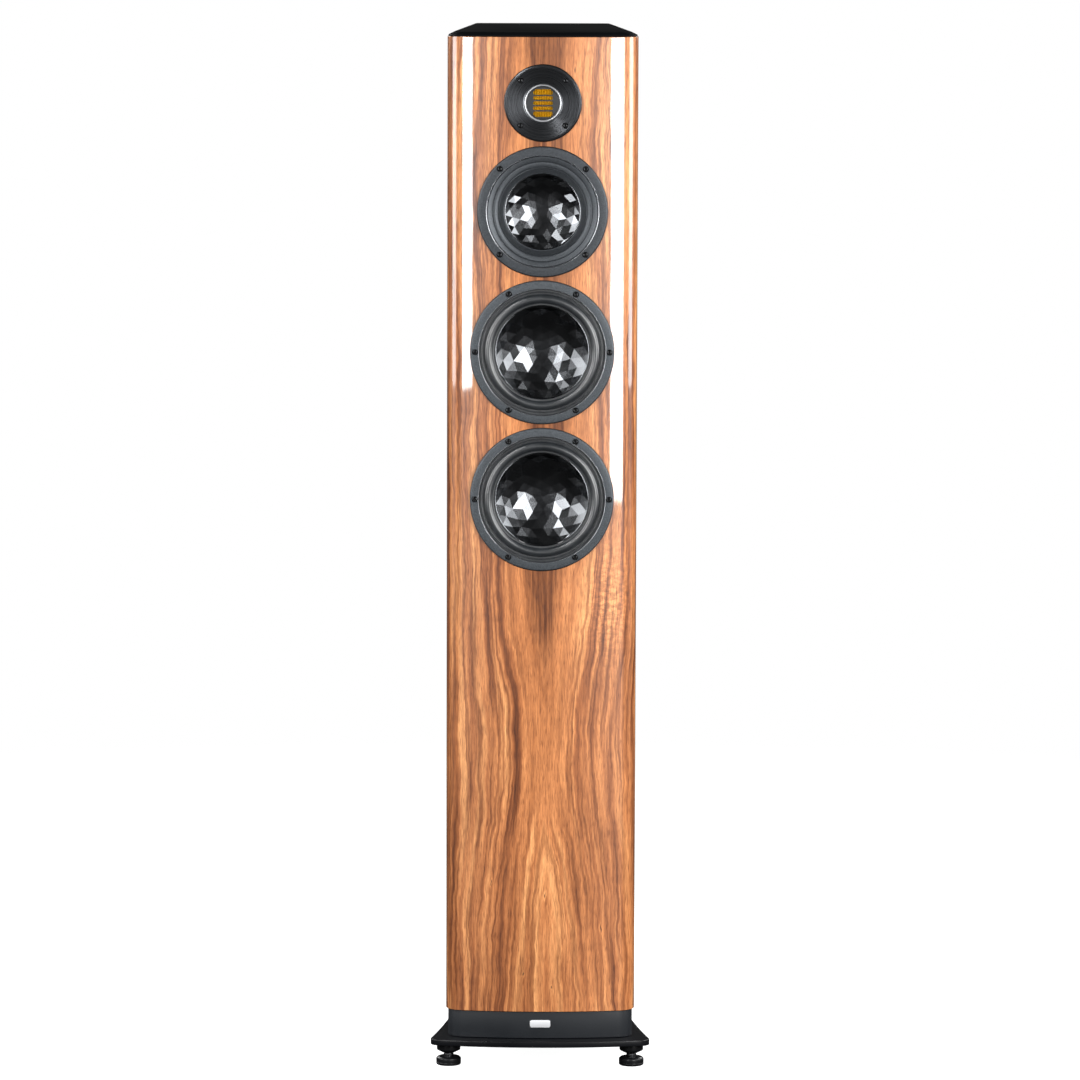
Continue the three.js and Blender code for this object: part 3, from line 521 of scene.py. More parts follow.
def solid_object(name, solid, look, sharp):
    """An object whose smooth shading breaks at edges sharper than an angle in degrees."""
    mesh = bpy.data.meshes.new(name)
    mesh.from_pydata(solid[0], [], solid[1])
    mesh.validate()
    mesh.update()
    mesh.materials.append(LOOKS[look].material)
    mesh.shade_smooth()
    mesh.set_sharp_from_angle(angle=math.radians(sharp))
    return place_object(name, mesh)


def make(name, solid, slot, body=ROOT, stands_for=(), place=(0, 0, 0), sharp=35, look=None):
    """A piece from a (vertices, faces) solid about its own origin, put in place and tied to its CAD body."""
    piece = solid_object(name, solid, look or slot, sharp)
    piece.location = place
    bpy.context.view_layer.update()
    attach(piece, body)
    if stands_for:
        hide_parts(*stands_for)
    return piece


def middle(node):
    """The middle of a CAD node's box."""
    low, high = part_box(node)
    return tuple((a + b) / 2 for a, b in zip(low, high))


def rounded(profile, steps=4, closed=True):
    """Turns the (radius, depth, fillet) corners of a profile into arcs, in metres."""
    points = []
    count = len(profile)
    for i, (radius, depth, fillet) in enumerate(profile):
        corner = Vector((radius, depth))
        ends = (i > 0 and i < count - 1) or closed
        if not fillet or not ends:
            points.append(corner)
            continue
        before = Vector(profile[i - 1][:2]) - corner
        after = Vector(profile[(i + 1) % count][:2]) - corner
        reach = min(fillet, before.length * 0.49, after.length * 0.49)
        start = corner + before.normalized() * reach
        end = corner + after.normalized() * reach
        for step in range(steps + 1):
            t = step / steps
            points.append(start * (1 - t) ** 2 + corner * 2 * t * (1 - t) + end * t ** 2)
    return [(point[0] * MM, point[1] * MM) for point in points]


def lathe(points, segments, upright=False):
    """Vertices and faces of a profile in metres turned about Y, or about Z with depth as height."""
    area = sum(a[0] * b[1] - b[0] * a[1] for a, b in zip(points, points[1:] + points[:1]))
    if area < 0:
        points = points[::-1]
    on_axis = points[0][0] < 1e-9 and points[-1][0] < 1e-9
    vertices, rows = [], []
    for radius, depth in points:
        count = 1 if radius < 1e-9 else segments
        rows.append((len(vertices), count))
        for i in range(count):
            angle = 2 * math.pi * i / segments
            side, up = radius * math.sin(angle), radius * math.cos(angle)
            vertices.append((side, -up, depth) if upright else (side, depth, up))
    faces = []
    pairs = list(zip(rows, rows[1:] + rows[:1]))
    if on_axis:
        pairs.pop()
    for (first, first_count), (second, second_count) in pairs:
        for i in range(segments):
            j = (i + 1) % segments
            a, b = first + i % first_count, first + j % first_count
            c, d = second + j % second_count, second + i % second_count
            face = list(dict.fromkeys((a, b, c, d)))
            if len(face) > 2:
                faces.append(face)
    return vertices, faces


def turned(name, profile, slot, place, segments=ROUND_SEGMENTS, upright=False, **options):
    closed = not (profile[0][0] == 0 and profile[-1][0] == 0)
    return make(name, lathe(rounded(profile, closed=closed), segments, upright), slot, place=place, **options)


def drill(radius, start, end, place, segments, upright=False):
    """A cylinder to cut with, between two depths, or two heights where it is upright."""
    profile = [(0, start), (radius, start), (radius, end), (0, end)]
    return moved(lathe(profile, segments, upright), place)


def prism(outline, low, high, easing=0.0, steps=3):
    """Vertices and faces of an anticlockwise plan outline raised from low to high with eased edges."""
    layers = []
    for step in range(steps + 1 if easing else 1):
        angle = math.pi / 2 * step / steps if easing else 0
        layers.append((easing * (1 - math.sin(angle)), low + easing * (1 - math.cos(angle))))
    layers += [(inset, high + low - height) for inset, height in reversed(layers)]
    return stack([(inset_outline(outline, inset), height) for inset, height in layers])


def stack(layers):
    """A solid through outlines of equal point counts, each with its height, from the lowest up."""
    count = len(layers[0][0])
    vertices = [(x, y, z) for outline, z in layers for x, y in outline]
    faces = [list(range(count))[::-1]]
    for layer in range(len(layers) - 1):
        for i in range(count):
            a, b = layer * count + i, layer * count + (i + 1) % count
            faces.append((a, b, b + count, a + count))
    last = (len(layers) - 1) * count
    faces.append([last + i for i in range(count)])
    return vertices, faces


def inset_outline(outline, distance):
    """Moves every point of an anticlockwise outline inwards."""
    moved = []
    for i, point in enumerate(outline):
        before, here = Vector(outline[i - 1]), Vector(point)
        after = Vector(outline[(i + 1) % len(outline)])
        first = Vector((before.y - here.y, here.x - before.x)).normalized()
        second = Vector((here.y - after.y, after.x - here.x)).normalized()
        moved.append(here + (first + second) * (distance / max(0.2, 1 + first.dot(second))))
    return [(point.x, point.y) for point in moved]


def rounded_rectangle(half_x, half_y, radius, steps=6):
    outline = []
    for side_x, side_y, start in ((1, -1, -90), (1, 1, 0), (-1, 1, 90), (-1, -1, 180)):
        for i in range(steps + 1):
            angle = math.radians(start + 90 * i / steps)
            outline.append((side_x * (half_x - radius) + radius * math.cos(angle),
                            side_y * (half_y - radius) + radius * math.sin(angle)))
    return outline


def moved(solid, offset):
    return [tuple(a + b for a, b in zip(vertex, offset)) for vertex in solid[0]], solid[1]


def merged(solids):
    vertices, faces = [], []
    for more_vertices, more_faces in solids:
        faces += [[index + len(vertices) for index in face] for face in more_faces]
        vertices += more_vertices
    return vertices, faces


def cut(piece, cutters):
    """Cuts loose (vertices, faces) solids out of a piece's mesh, once and for all."""
    vertices, faces = merged(cutters)
    tool_mesh = bpy.data.meshes.new("cutter")
    tool_mesh.from_pydata(vertices, [], faces)
    tool = place_object("cutter", tool_mesh)
    tool.location = piece.matrix_world.translation
    modifier = piece.modifiers.new("cut", "BOOLEAN")
    modifier.object = tool
    modifier.operation = "DIFFERENCE"
    modifier.solver = "EXACT"
    bpy.context.view_layer.update()
    old = piece.data
    piece.data = bpy.data.meshes.new_from_object(piece.evaluated_get(bpy.context.evaluated_depsgraph_get()))
    piece.modifiers.clear()
    bpy.data.meshes.remove(old)
    bpy.data.objects.remove(tool)
    bpy.data.meshes.remove(tool_mesh)
    piece.data.shade_smooth()
    piece.data.set_sharp_from_angle(angle=math.radians(35))


# ---- Cabinet ----


def side_half_width(y):
    start_x, start_y = SIDE_START
    return start_x + (REAR_HALF_WIDTH - start_x) * (y - start_y) / (REAR_Y - start_y)


def bow_y(x):
    return CROWN_Y + BOW_RADIUS - math.sqrt(BOW_RADIUS ** 2 - x ** 2)


def curved(start, control, end, steps):
    """Points of a quadratic curve, as (x, y, normal x, normal y), the solid on its left."""
    start, control, end = Vector(start), Vector(control), Vector(end)
    points = []
    for i in range(steps + 1):
        t = i / steps
        here = start * (1 - t) ** 2 + control * 2 * t * (1 - t) + end * t ** 2
        along = (control - start) * (1 - t) + (end - control) * t
        normal = Vector((along.y, -along.x)).normalized()
        points.append((here.x, here.y, normal.x, normal.y))
    return points


def front_corner(steps):
    """The corner between bow and side, whose control point is where their tangents meet."""
    start_y = bow_y(BOW_HALF_WIDTH)
    end_x, end_y = SIDE_START
    bow_slope = BOW_HALF_WIDTH / math.sqrt(BOW_RADIUS ** 2 - BOW_HALF_WIDTH ** 2)
    side_slope = (REAR_HALF_WIDTH - end_x) / (REAR_Y - end_y)
    y = (start_y + bow_slope * (end_x - side_slope * end_y - BOW_HALF_WIDTH)) / (1 - bow_slope * side_slope)
    control = (end_x + side_slope * (y - end_y), y)
    return curved((BOW_HALF_WIDTH, start_y), control, SIDE_START, steps)


def half_outline(bow_steps=48, corner_steps=24, side_steps=12, rear_steps=10):
    """The right half of the cabinet's plan from the middle of the front to the rear, with normals."""
    points = []
    for i in range(bow_steps):
        x = BOW_HALF_WIDTH * i / bow_steps
        points.append((x, bow_y(x), x / BOW_RADIUS, -math.sqrt(1 - (x / BOW_RADIUS) ** 2)))
    corner = front_corner(corner_steps)
    points += corner
    normal = corner[-1][2:]
    side_end = REAR_Y - REAR_CORNER
    for i in range(1, side_steps):
        y = SIDE_START[1] + (side_end - SIDE_START[1]) * i / side_steps
        points.append((side_half_width(y), y, *normal))
    rear_end = (REAR_HALF_WIDTH - REAR_CORNER, REAR_Y)
    side = (side_half_width(side_end), side_end)
    return points + curved(side, (REAR_HALF_WIDTH, REAR_Y), rear_end, rear_steps)


def whole(half):
    """The whole of a plan, anticlockwise and in metres, from its right half in millimetres."""
    half = [(point[0] * MM, point[1] * MM) for point in half]
    return half + [(-x, y) for x, y in reversed(half) if x > 0]


def cabinet_wrap():
    """The veneered front and sides, with true normals on the lacquered face and the leaf's own UVs."""
    low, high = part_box("cabinet_shell")
    past = REAR_Y + 5
    front, rear = (side_half_width(y) - SIDE_BOARD for y in (INNER_FRONT_Y, past))
    hollow = [(-front, INNER_FRONT_Y), (front, INNER_FRONT_Y), (rear, past), (-rear, past)]
    hollow = [(x * MM, y * MM) for x, y in hollow]
    piece = make("walnut_wrap", prism(whole(half_outline()), low[2], high[2], 0.4 * MM, 2), "walnut_veneer",
                 stands_for=["cabinet_shell"])
    cut(piece, [stack([(hollow, low[2] - 1 * MM), (hollow, high[2] + 1 * MM)])])
    pockets = []
    for name, (seat_depth, cutout) in SEATS.items():
        rim_low, rim_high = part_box(name)
        rim = (rim_high[0] - rim_low[0]) / 2 / MM + 0.35
        seat = rim_low[1] / MM + seat_depth + 0.3
        profile = [(0, CROWN_Y - 12, 0), (rim, CROWN_Y - 12, 0), (rim, seat, 0), (cutout, seat, 0),
                   (cutout, INNER_FRONT_Y + 12, 0), (0, INNER_FRONT_Y + 12, 0)]
        pocket = lathe(rounded(profile, closed=False), ROUND_SEGMENTS)
        pockets.append(moved(pocket, (0, 0, middle(name)[2])))
    cut(piece, pockets)
    dress_veneer(piece.data)


def dress_veneer(mesh):
    """Sets the outer face's normals from the plan, and UVs as distance round the plan and height."""
    half = half_outline()
    lengths = [0.0]
    for before, here in zip(half, half[1:]):
        lengths.append(lengths[-1] + math.dist(before[:2], here[:2]))

    def project(x, y):
        """(distance off the plan, length round it, normal) at a point in millimetres."""
        side = -1 if x < 0 else 1
        best = (1e9, 0, None)
        for i in range(len(half) - 1):
            ax, ay, anx, any_ = half[i]
            bx, by, bnx, bny = half[i + 1]
            dx, dy = bx - ax, by - ay
            t = max(0.0, min(1.0, ((abs(x) - ax) * dx + (y - ay) * dy) / (dx * dx + dy * dy)))
            away = math.hypot(abs(x) - ax - t * dx, y - ay - t * dy)
            if away < best[0]:
                length = lengths[i] + t * (lengths[i + 1] - lengths[i])
                normal = (side * (anx + t * (bnx - anx)), any_ + t * (bny - any_))
                best = (away, side * length, normal)
        return best

    uv = mesh.uv_layers.get("veneer") or mesh.uv_layers.new(name="veneer")
    normals = [Vector(corner.vector) for corner in mesh.corner_normals]
    known = {}
    for polygon in mesh.polygons:
        level = abs(polygon.normal.z) < 0.05
        for loop in polygon.loop_indices:
            index = mesh.loops[loop].vertex_index
            point = mesh.vertices[index].co
            if index not in known:
                known[index] = project(point.x / MM, point.y / MM)
            away, length, normal = known[index]
            uv.data[loop].uv = (length * MM, point.z)
            if level and away < 0.05 and polygon.normal.x * normal[0] + polygon.normal.y * normal[1] > 0.9:
                normals[loop] = Vector((normal[0], normal[1], 0)).normalized()
    mesh.normals_split_custom_set(normals)


def cabinet_boards():
    """The back panel with its openings, and the looks of the boards inside."""
    for name in ("top_board", "bottom_board", "chamber_shelf", "window_brace"):
        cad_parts[name].data.materials.clear()
        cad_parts[name].data.materials.append(LOOKS["inner_board"].material)
    low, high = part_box("back_panel")
    front_half, rear_half = ((side_half_width(y / MM) - SIDE_BOARD - 0.3) * MM for y in (low[1], high[1]))
    outline = [(-rear_half, high[1]), (-front_half, low[1]), (front_half, low[1]), (rear_half, high[1])]
    panel = make("rear_panel", prism(outline, low[2], high[2], 0.6 * MM), "rear_black",
                 stands_for=["back_panel"])
    front, rear = low[1] - 0.01, high[1] + 0.01
    cutters = [drill(40.3 * MM, front, rear, (0, 0, middle(name)[2]), ROUND_SEGMENTS) for name in PORTS]
    height = middle("terminal_plate")[2]
    half_x, half_z = 48.3 * MM, 33.3 * MM
    window = [(-half_x, front), (half_x, front), (half_x, rear), (-half_x, rear)]
    cutters.append(stack([(window, height - half_z), (window, height + half_z)]))
    cut(panel, cutters)


def top_plate():
    """A board with a quirk at its foot and a broad chamfer."""
    low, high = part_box("top_plate")
    outline = whole(half_outline())
    foot, top = 1.0, 7.9
    layers = [
        (foot + 0.3, low[2]), (foot, low[2] + 0.3 * MM), (foot, low[2] + 1.2 * MM),
        (foot + 0.15, low[2] + 1.45 * MM), (foot + 0.6, low[2] + 1.9 * MM),
        (top - 1.0, high[2] - 0.55 * MM), (top - 0.4, high[2] - 0.18 * MM), (top + 0.4, high[2]),
    ]
    board = stack([(inset_outline(outline, inset * MM), z) for inset, z in layers])
    make("black_top_plate", board, "top_black", stands_for=["top_plate"], sharp=25)


def plinth():
    low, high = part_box("plinth")
    board = prism(inset_outline(whole(half_outline()), 2.5 * MM), low[2], high[2], 1.0 * MM)
    make("plinth_board", board, "plinth_grey", stands_for=["plinth"], sharp=60)


def badge():
    low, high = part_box("badge")
    centre = middle("badge")
    outline = rounded_rectangle((high[0] - low[0]) / 2, (high[2] - low[2]) / 2, 2.2 * MM)
    vertices, faces = prism(outline, 0, high[1] - low[1], 0.3 * MM)
    make("plain_badge", ([(x, -z, y) for x, y, z in vertices], faces), "badge_metal", stands_for=["badge"],
         place=(centre[0], high[1], centre[2]), sharp=40)


# ---- Base plate and feet ----


def plate_half_outline(half_depth):
    """The right half of the base plate's plan: a bowed front, waisted sides and round rear corners."""
    bow_steps, corner_steps, side_steps, rear_steps = 30, 14, 24, 10
    bow_centre = PLATE_BOW_RADIUS - half_depth
    rear = PLATE_REAR_HALF_WIDTH
    points = []
    for i in range(bow_steps + 1):
        x = PLATE_BOW_HALF_WIDTH * i / bow_steps
        points.append((x, bow_centre - math.sqrt(PLATE_BOW_RADIUS ** 2 - x ** 2)))
    side_end = (rear, half_depth - PLATE_REAR_CORNER)
    stretches = (
        (points[-1], PLATE_CORNER, PLATE_SIDE_START, corner_steps),
        (PLATE_SIDE_START, PLATE_WAIST, side_end, side_steps),
        (side_end, (rear, half_depth), (rear - PLATE_REAR_CORNER, half_depth), rear_steps),
    )
    for stretch in stretches:
        points += [point[:2] for point in curved(*stretch)[1:]]
    return points


def base_plate():
    low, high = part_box("base_plate")
    outline = whole(plate_half_outline(high[1] / MM))
    plate = make("steel_base_plate", prism(outline, low[2], high[2], 0.9 * MM, 4), "base_black",
                 stands_for=["base_plate"], sharp=60)
    holes = []
    for corner in CORNERS:
        x, y, _ = middle(f"foot_bush_{corner}")
        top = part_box(f"foot_bush_{corner}")[1][2] + 0.3 * MM
        holes.append(drill(6.8 * MM, low[2] - 0.01, top, (x, y, 0), HIDDEN_SEGMENTS, upright=True))
    cut(plate, holes)


def thread(radius, depth, pitch, low, high, segments=48, per_turn=8):
    """A screwed rod about Z between two heights, closed at both ends."""
    rows = int((high - low) / pitch * per_turn) + 1
    layers = []
    for row in range(rows):
        z = low + (high - low) * row / (rows - 1)
        taper = max(0.0, min(1.0, (z - low) / pitch, (high - z) / pitch))
        outline = []
        for i in range(segments):
            turn = i / segments
            reach = radius - depth * abs(((z / pitch - turn) % 1) * 2 - 1) * taper
            outline.append((reach * math.cos(2 * math.pi * turn), reach * math.sin(2 * math.pi * turn)))
        layers.append((outline, z))
    return stack(layers)


def foot(corner):
    x, y, _ = middle(f"foot_pad_{corner}")
    place = (x, y, 0)
    turned(f"pad_{corner}", [
        (0, 0.4, 0), (8, 0.4, 0.3), (9, 0, 0.4), (13.2, 0, 0.6), (14.5, 1.3, 0.8), (14.5, 2.9, 0.2),
        (14.1, 3.2, 0.2), (14.1, 3.6, 0.2), (14.5, 3.9, 0.2), (14.5, 8.2, 1.0), (12.2, 10.1, 0.8),
        (9.5, 10.3, 0.5), (6.8, 10.3, 0.5), (5.3, 9.6, 0.4), (5.3, 3.5, 0), (0, 3.5, 0),
    ], "foot_pad_black", place, HIDDEN_SEGMENTS, True, body=f"foot_{corner}",
        stands_for=[f"foot_pad_{corner}"])
    collar = lathe(rounded([
        (0, 3.8, 0), (5, 3.8, 0.4), (5, 10.6, 0), (5.8, 10.6, 0.3), (5.8, 13.4, 0.4), (3.4, 14, 0),
        (0, 14, 0),
    ], closed=False), HIDDEN_SEGMENTS, upright=True)
    stem = merged([collar, thread(4 * MM, 0.6 * MM, 1.25 * MM, 13.8 * MM, 30.5 * MM)])
    make(f"stem_{corner}", stem, "foot_steel", f"foot_screw_{corner}", [f"foot_stem_{corner}"], place)
    turned(f"bush_{corner}", [
        (4.4, 14.3, 0.2), (6.6, 14.3, 0.5), (13.0, 17.4, 0.8), (13.8, 18.2, 0.6), (13.8, 25.2, 0.5),
        (6.5, 25.2, 0), (6.5, 31, 0.3), (4.4, 31, 0.2),
    ], "foot_bush_black", place, HIDDEN_SEGMENTS, True, stands_for=[f"foot_bush_{corner}"])


# ---- Screws ----


def socket_screw(name, place, slot, radius=3.1, rear=False):
    """A button-headed screw with a hexagonal socket, its head facing -Y, or +Y at the rear."""
    sides, steps = 6, 5
    vertices, rows = [], []
    socket = radius * 0.5
    rings = [(socket * 0.98, 1.1, sides), (socket, 0.12, sides), (radius * 0.62, 0.0, 0)]
    for i in range(1, steps + 1):
        angle = math.pi / 2 * i / steps
        rings.append((radius * (0.62 + 0.38 * math.sin(angle)), 0.9 * (1 - math.cos(angle)), 0))
    rings.append((radius, 1.8, 0))
    vertices.append((0, 1.25 * MM, 0))
    for reach, depth, corners in rings:
        rows.append(len(vertices))
        for i in range(SCREW_SEGMENTS):
            angle = 2 * math.pi * i / SCREW_SEGMENTS
            here = reach
            if corners:
                sector = 2 * math.pi / corners
                here = reach * math.cos(sector / 2) / math.cos(angle % sector - sector / 2)
            vertices.append((here * math.sin(angle) * MM, depth * MM, here * math.cos(angle) * MM))
    last = len(vertices)
    vertices.append((0, 1.8 * MM, 0))
    faces = []
    for i in range(SCREW_SEGMENTS):
        j = (i + 1) % SCREW_SEGMENTS
        faces.append((0, rows[0] + i, rows[0] + j))
        for a, b in zip(rows, rows[1:]):
            faces.append((a + i, b + i, b + j, a + j))
        faces.append((rows[-1] + i, last, rows[-1] + j))
    if rear:
        vertices = [(-x, -y, z) for x, y, z in vertices]
    make(name, (vertices, faces), slot, place=place, look="screw_black", sharp=30)


def screw_circle(name, piece, count, first, radius, recess, place, slot, sink, head=3.1):
    """Counterbores a flange on a circle and drops a screw into each hole."""
    spots = []
    for i in range(count):
        angle = math.radians(first + 360 * i / count)
        spots.append((radius * math.sin(angle) * MM, radius * math.cos(angle) * MM))
    cut(piece, [drill(recess * MM, -5 * MM, sink * MM, (x, 0, z), SCREW_SEGMENTS) for x, z in spots])
    for i, (x, z) in enumerate(spots):
        spot = (place[0] + x, place[1] + (sink - 1.8) * MM, place[2] + z)
        socket_screw(f"{name}_screw_{i + 1}", spot, slot, head)


# ---- Cone drivers ----


def cone_depth(driver, radius):
    """Depth of the bowl, in millimetres: an ellipse that steepens towards the rim."""
    def rise(r):
        return math.sqrt(max(0.0, 1 - (r / driver.half_axis) ** 2))
    rim = rise(driver.cone)
    return LIP_DEPTH + driver.sag * (rise(radius) - rim) / (1 - rim)


def cone_arc(driver, steps=200):
    """Radii at even distances along the bowl, from its middle to its rim."""
    rim = driver.cone - 0.5
    points = [(rim * i / steps, cone_depth(driver, rim * i / steps)) for i in range(steps + 1)]
    lengths = [0.0]
    for before, here in zip(points, points[1:]):
        lengths.append(lengths[-1] + math.dist(before, here))
    return points, lengths


def radius_at(share, points, lengths):
    """The radius at a share of the way along the bowl."""
    goal = share * lengths[-1]
    for i in range(1, len(lengths)):
        if lengths[i] >= goal:
            t = (goal - lengths[i - 1]) / (lengths[i] - lengths[i - 1])
            return points[i - 1][0] + t * (points[i][0] - points[i - 1][0])
    return points[-1][0]


def basket_profile(driver):
    """Half of the frame's section, from the front of its inner edge round the outside and back."""
    edge, bore = driver.inner + EDGE_WIDTH, driver.coil + 1.3
    ledge, seat = LIP_DEPTH + 1.3, driver.spider_depth + 1.3
    wall = driver.wall - WALL_THICKNESS
    return [
        (edge, 1.6, 0), (edge, 0.05, 0.1), (driver.flange - 1.0, 0.6, 0.8), (driver.flange, 1.8, 0.8),
        (driver.flange, driver.thickness, 0.3), (driver.wall, driver.thickness, 0.4),
        (driver.wall, driver.wall_depth, 3), (driver.ring, driver.spider_depth + 9, 3),
        (driver.ring, driver.ring_rear, 0.5), (bore, driver.ring_rear, 0.2), (bore, driver.ring_front, 0.2),
        (driver.spider - 6, driver.ring_front, 1), (driver.spider - 6, seat, 0.3),
        (driver.spider + 1.5, seat, 0), (driver.spider + 1.5, driver.spider_depth - 2, 2),
        (wall, driver.wall_depth, 3), (wall, ledge, 0.4), (driver.inner, ledge, 0), (driver.inner, 1.6, 0),
    ]


def basket_windows(driver):
    """Two crossed bars that cut the frame's wall into four legs."""
    half, reach = driver.window / 2 * MM, driver.flange * MM
    front, rear = (driver.wall_depth + 4) * MM, (driver.spider_depth - 3) * MM
    bars = []
    for turn in (45, 135):
        across = Vector((math.sin(math.radians(turn)), 0, math.cos(math.radians(turn))))
        beside = Vector((across.z, 0, -across.x))
        corners = [across * a * reach + beside * b * half for a, b in ((-1, -1), (1, -1), (1, 1), (-1, 1))]
        vertices = [(c.x, y, c.z) for y in (front, rear) for c in corners]
        faces = [(3, 2, 1, 0), (4, 5, 6, 7)] + [(i, (i + 1) % 4, (i + 1) % 4 + 4, i + 4) for i in range(4)]
        bars.append((vertices, faces))
    return bars


def basket(name, driver, place):
    """The frame, its polished inner edge and its screws."""
    slot = "midrange_flange" if name == "midrange" else "woofer_flange"
    piece = turned(f"{name}_frame", basket_profile(driver), slot, place, stands_for=[f"{name}_basket"])
    inner, outer = driver.inner + 0.02, driver.inner + EDGE_WIDTH
    turned(f"{name}_polished_edge", [
        (inner, 1.58, 0), (inner, EDGE_WIDTH, 0.2), (outer - 0.15, 0.05, 0.1), (outer - 0.02, 0.1, 0),
        (outer - 0.02, 1.58, 0),
    ], slot, place, look="polished_edge")
    cut(piece, basket_windows(driver))
    screw_circle(name, piece, driver.screws, driver.screw_first, driver.screw_radius, driver.screw_recess,
                 place, slot, 2.8)


def roll(radius, half_width, height, depth, steps=14):
    """The front of a half roll, from its outer foot to its inner one."""
    points = []
    for i in range(steps + 1):
        angle = math.pi * i / steps
        points.append((radius + half_width * math.cos(angle), depth - height * math.sin(angle), 0))
    return points


def skin(front, thickness):
    """Closes a line of profile points into a sheet of even thickness behind it."""
    back = []
    for i, (radius, depth, _) in enumerate(front):
        before, after = Vector(front[max(0, i - 1)][:2]), Vector(front[min(len(front) - 1, i + 1)][:2])
        along = (after - before).normalized()
        normal = Vector((along.y, -along.x))
        if normal.y < 0:
            normal = -normal
        back.append((radius + normal.x * thickness, depth + normal.y * thickness, 0))
    return front + back[::-1]


def woofer_surround_profile(driver):
    depth = LIP_DEPTH
    front = [(driver.inner - 0.3, depth, 0), (70.4, depth, 0), (70.1, depth - 0.5, 0), (69.6, depth - 0.7, 0),
             (69.1, depth - 0.5, 0), (68.8, depth, 0), (67.6, depth, 0), (67.1, depth + 0.1, 0)]
    front += roll(61.8, 5.2, 5.4, depth)
    front += [(56.3, depth + 0.05, 0), (55.6, depth + 0.15, 0), (driver.cone + 0.3, depth + 0.1, 0)]
    return skin(front, 0.9)


def midrange_surround_profile(driver):
    """A stepped ring: two broad bands, then fine corrugations in to the cone."""
    depth = LIP_DEPTH
    front = [(driver.inner - 0.3, depth - 2.6, 0), (driver.inner - 0.9, depth - 3.1, 0),
             (58.6, depth - 2.2, 0), (57.9, depth - 1.7, 0), (57.6, depth - 0.9, 0), (57.3, depth - 1.5, 0),
             (56.6, depth - 1.7, 0), (52.3, depth - 0.9, 0), (51.7, depth - 0.4, 0), (51.4, depth + 0.4, 0),
             (51.0, depth - 0.2, 0), (50.5, depth - 0.4, 0)]
    ripples = 4
    for i in range(ripples * 6):
        radius = 50.2 - (50.2 - driver.cone - 0.9) * i / (ripples * 6)
        wave = 0.55 * math.cos(2 * math.pi * i / 6)
        front.append((radius, depth - 0.1 - wave + 0.6 * i / (ripples * 6), 0))
    front.append((driver.cone + 0.3, depth + 0.5, 0))
    return skin(front, 0.8)


def flexible(name, profile, segments, look, sharp, place):
    """A turned sheet that keeps its place in its vertices, as a blended piece has to."""
    sheet = moved(lathe([(r * MM, d * MM) for r, d, _ in profile], segments), place)
    return solid_object(name, sheet, look, sharp)


def surround(name, driver, place):
    if name == "midrange":
        profile, look, outer = midrange_surround_profile(driver), "midrange_band", 50
    else:
        profile, look, outer = woofer_surround_profile(driver), "surround_rubber", driver.inner - 3
    piece = flexible(f"{name}_edge", profile, ROUND_SEGMENTS, look, 50, place)
    flex(piece, f"{name}_moving", place, driver.cone + 1.6, outer)
    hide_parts(f"{name}_surround")


def flex(piece, body, place, inner, outer):
    """Lets a ring-shaped piece bend: its inner edge follows a moving body, and its outer edge stays."""
    start, end = Vector(place), Vector(place) + Vector((0, 0.01, 0))
    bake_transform(piece, ROOT, body, start=start, end=end)
    weights = piece.data.attributes[WEIGHTS]
    for vertex, weight in zip(piece.data.vertices, weights.data):
        radius = math.hypot(vertex.co.x - place[0], vertex.co.z - place[2]) / MM
        t = max(0.0, min(1.0, (outer - radius) / (outer - inner)))
        weight.value = t * t * (3 - 2 * t)


def geodesic(frequency):
    """The cap of a finely cut icosahedron: points, triangles, and every third point, none side by side."""
    ring_height, ring_radius = 1 / math.sqrt(5), 2 / math.sqrt(5)
    top = Vector((0, 0, 1))
    turns = [2 * math.pi * i / 5 for i in range(6)]
    corners = [Vector((ring_radius * math.cos(a), ring_radius * math.sin(a), ring_height)) for a in turns]
    points, faces, index, dents = [], [], {}, set()

    def point(i, j):
        position = (top + along * i + across * j).normalized()
        key = tuple(round(c, 5) for c in position)
        if key not in index:
            index[key] = len(points)
            points.append(position)
        if (i + 2 * j) % 3 == 0:
            dents.add(index[key])
        return index[key]

    for left, right in zip(corners, corners[1:]):
        along, across = (left - top) / frequency, (right - top) / frequency
        for i in range(frequency):
            for j in range(frequency - i):
                faces.append([point(i, j), point(i + 1, j), point(i, j + 1)])
                if j < frequency - i - 1:
                    faces.append([point(i + 1, j), point(i + 1, j + 1), point(i, j + 1)])
    return points, faces, dents


def shaken_net(points, edge, dice):
    """The cap's points laid flat at their true distance from the middle, each a little out of place."""
    flat = []
    for point in points:
        polar = math.acos(max(-1, min(1, point.z)))
        turn = math.atan2(point.y, point.x) + NET_TURN
        shake = NET_SHAKE * edge if polar > 1e-6 else 0.0
        spot = Vector((polar * math.cos(turn), polar * math.sin(turn)))
        flat.append(spot + Vector((dice.uniform(-shake, shake), dice.uniform(-shake, shake))))
    return flat


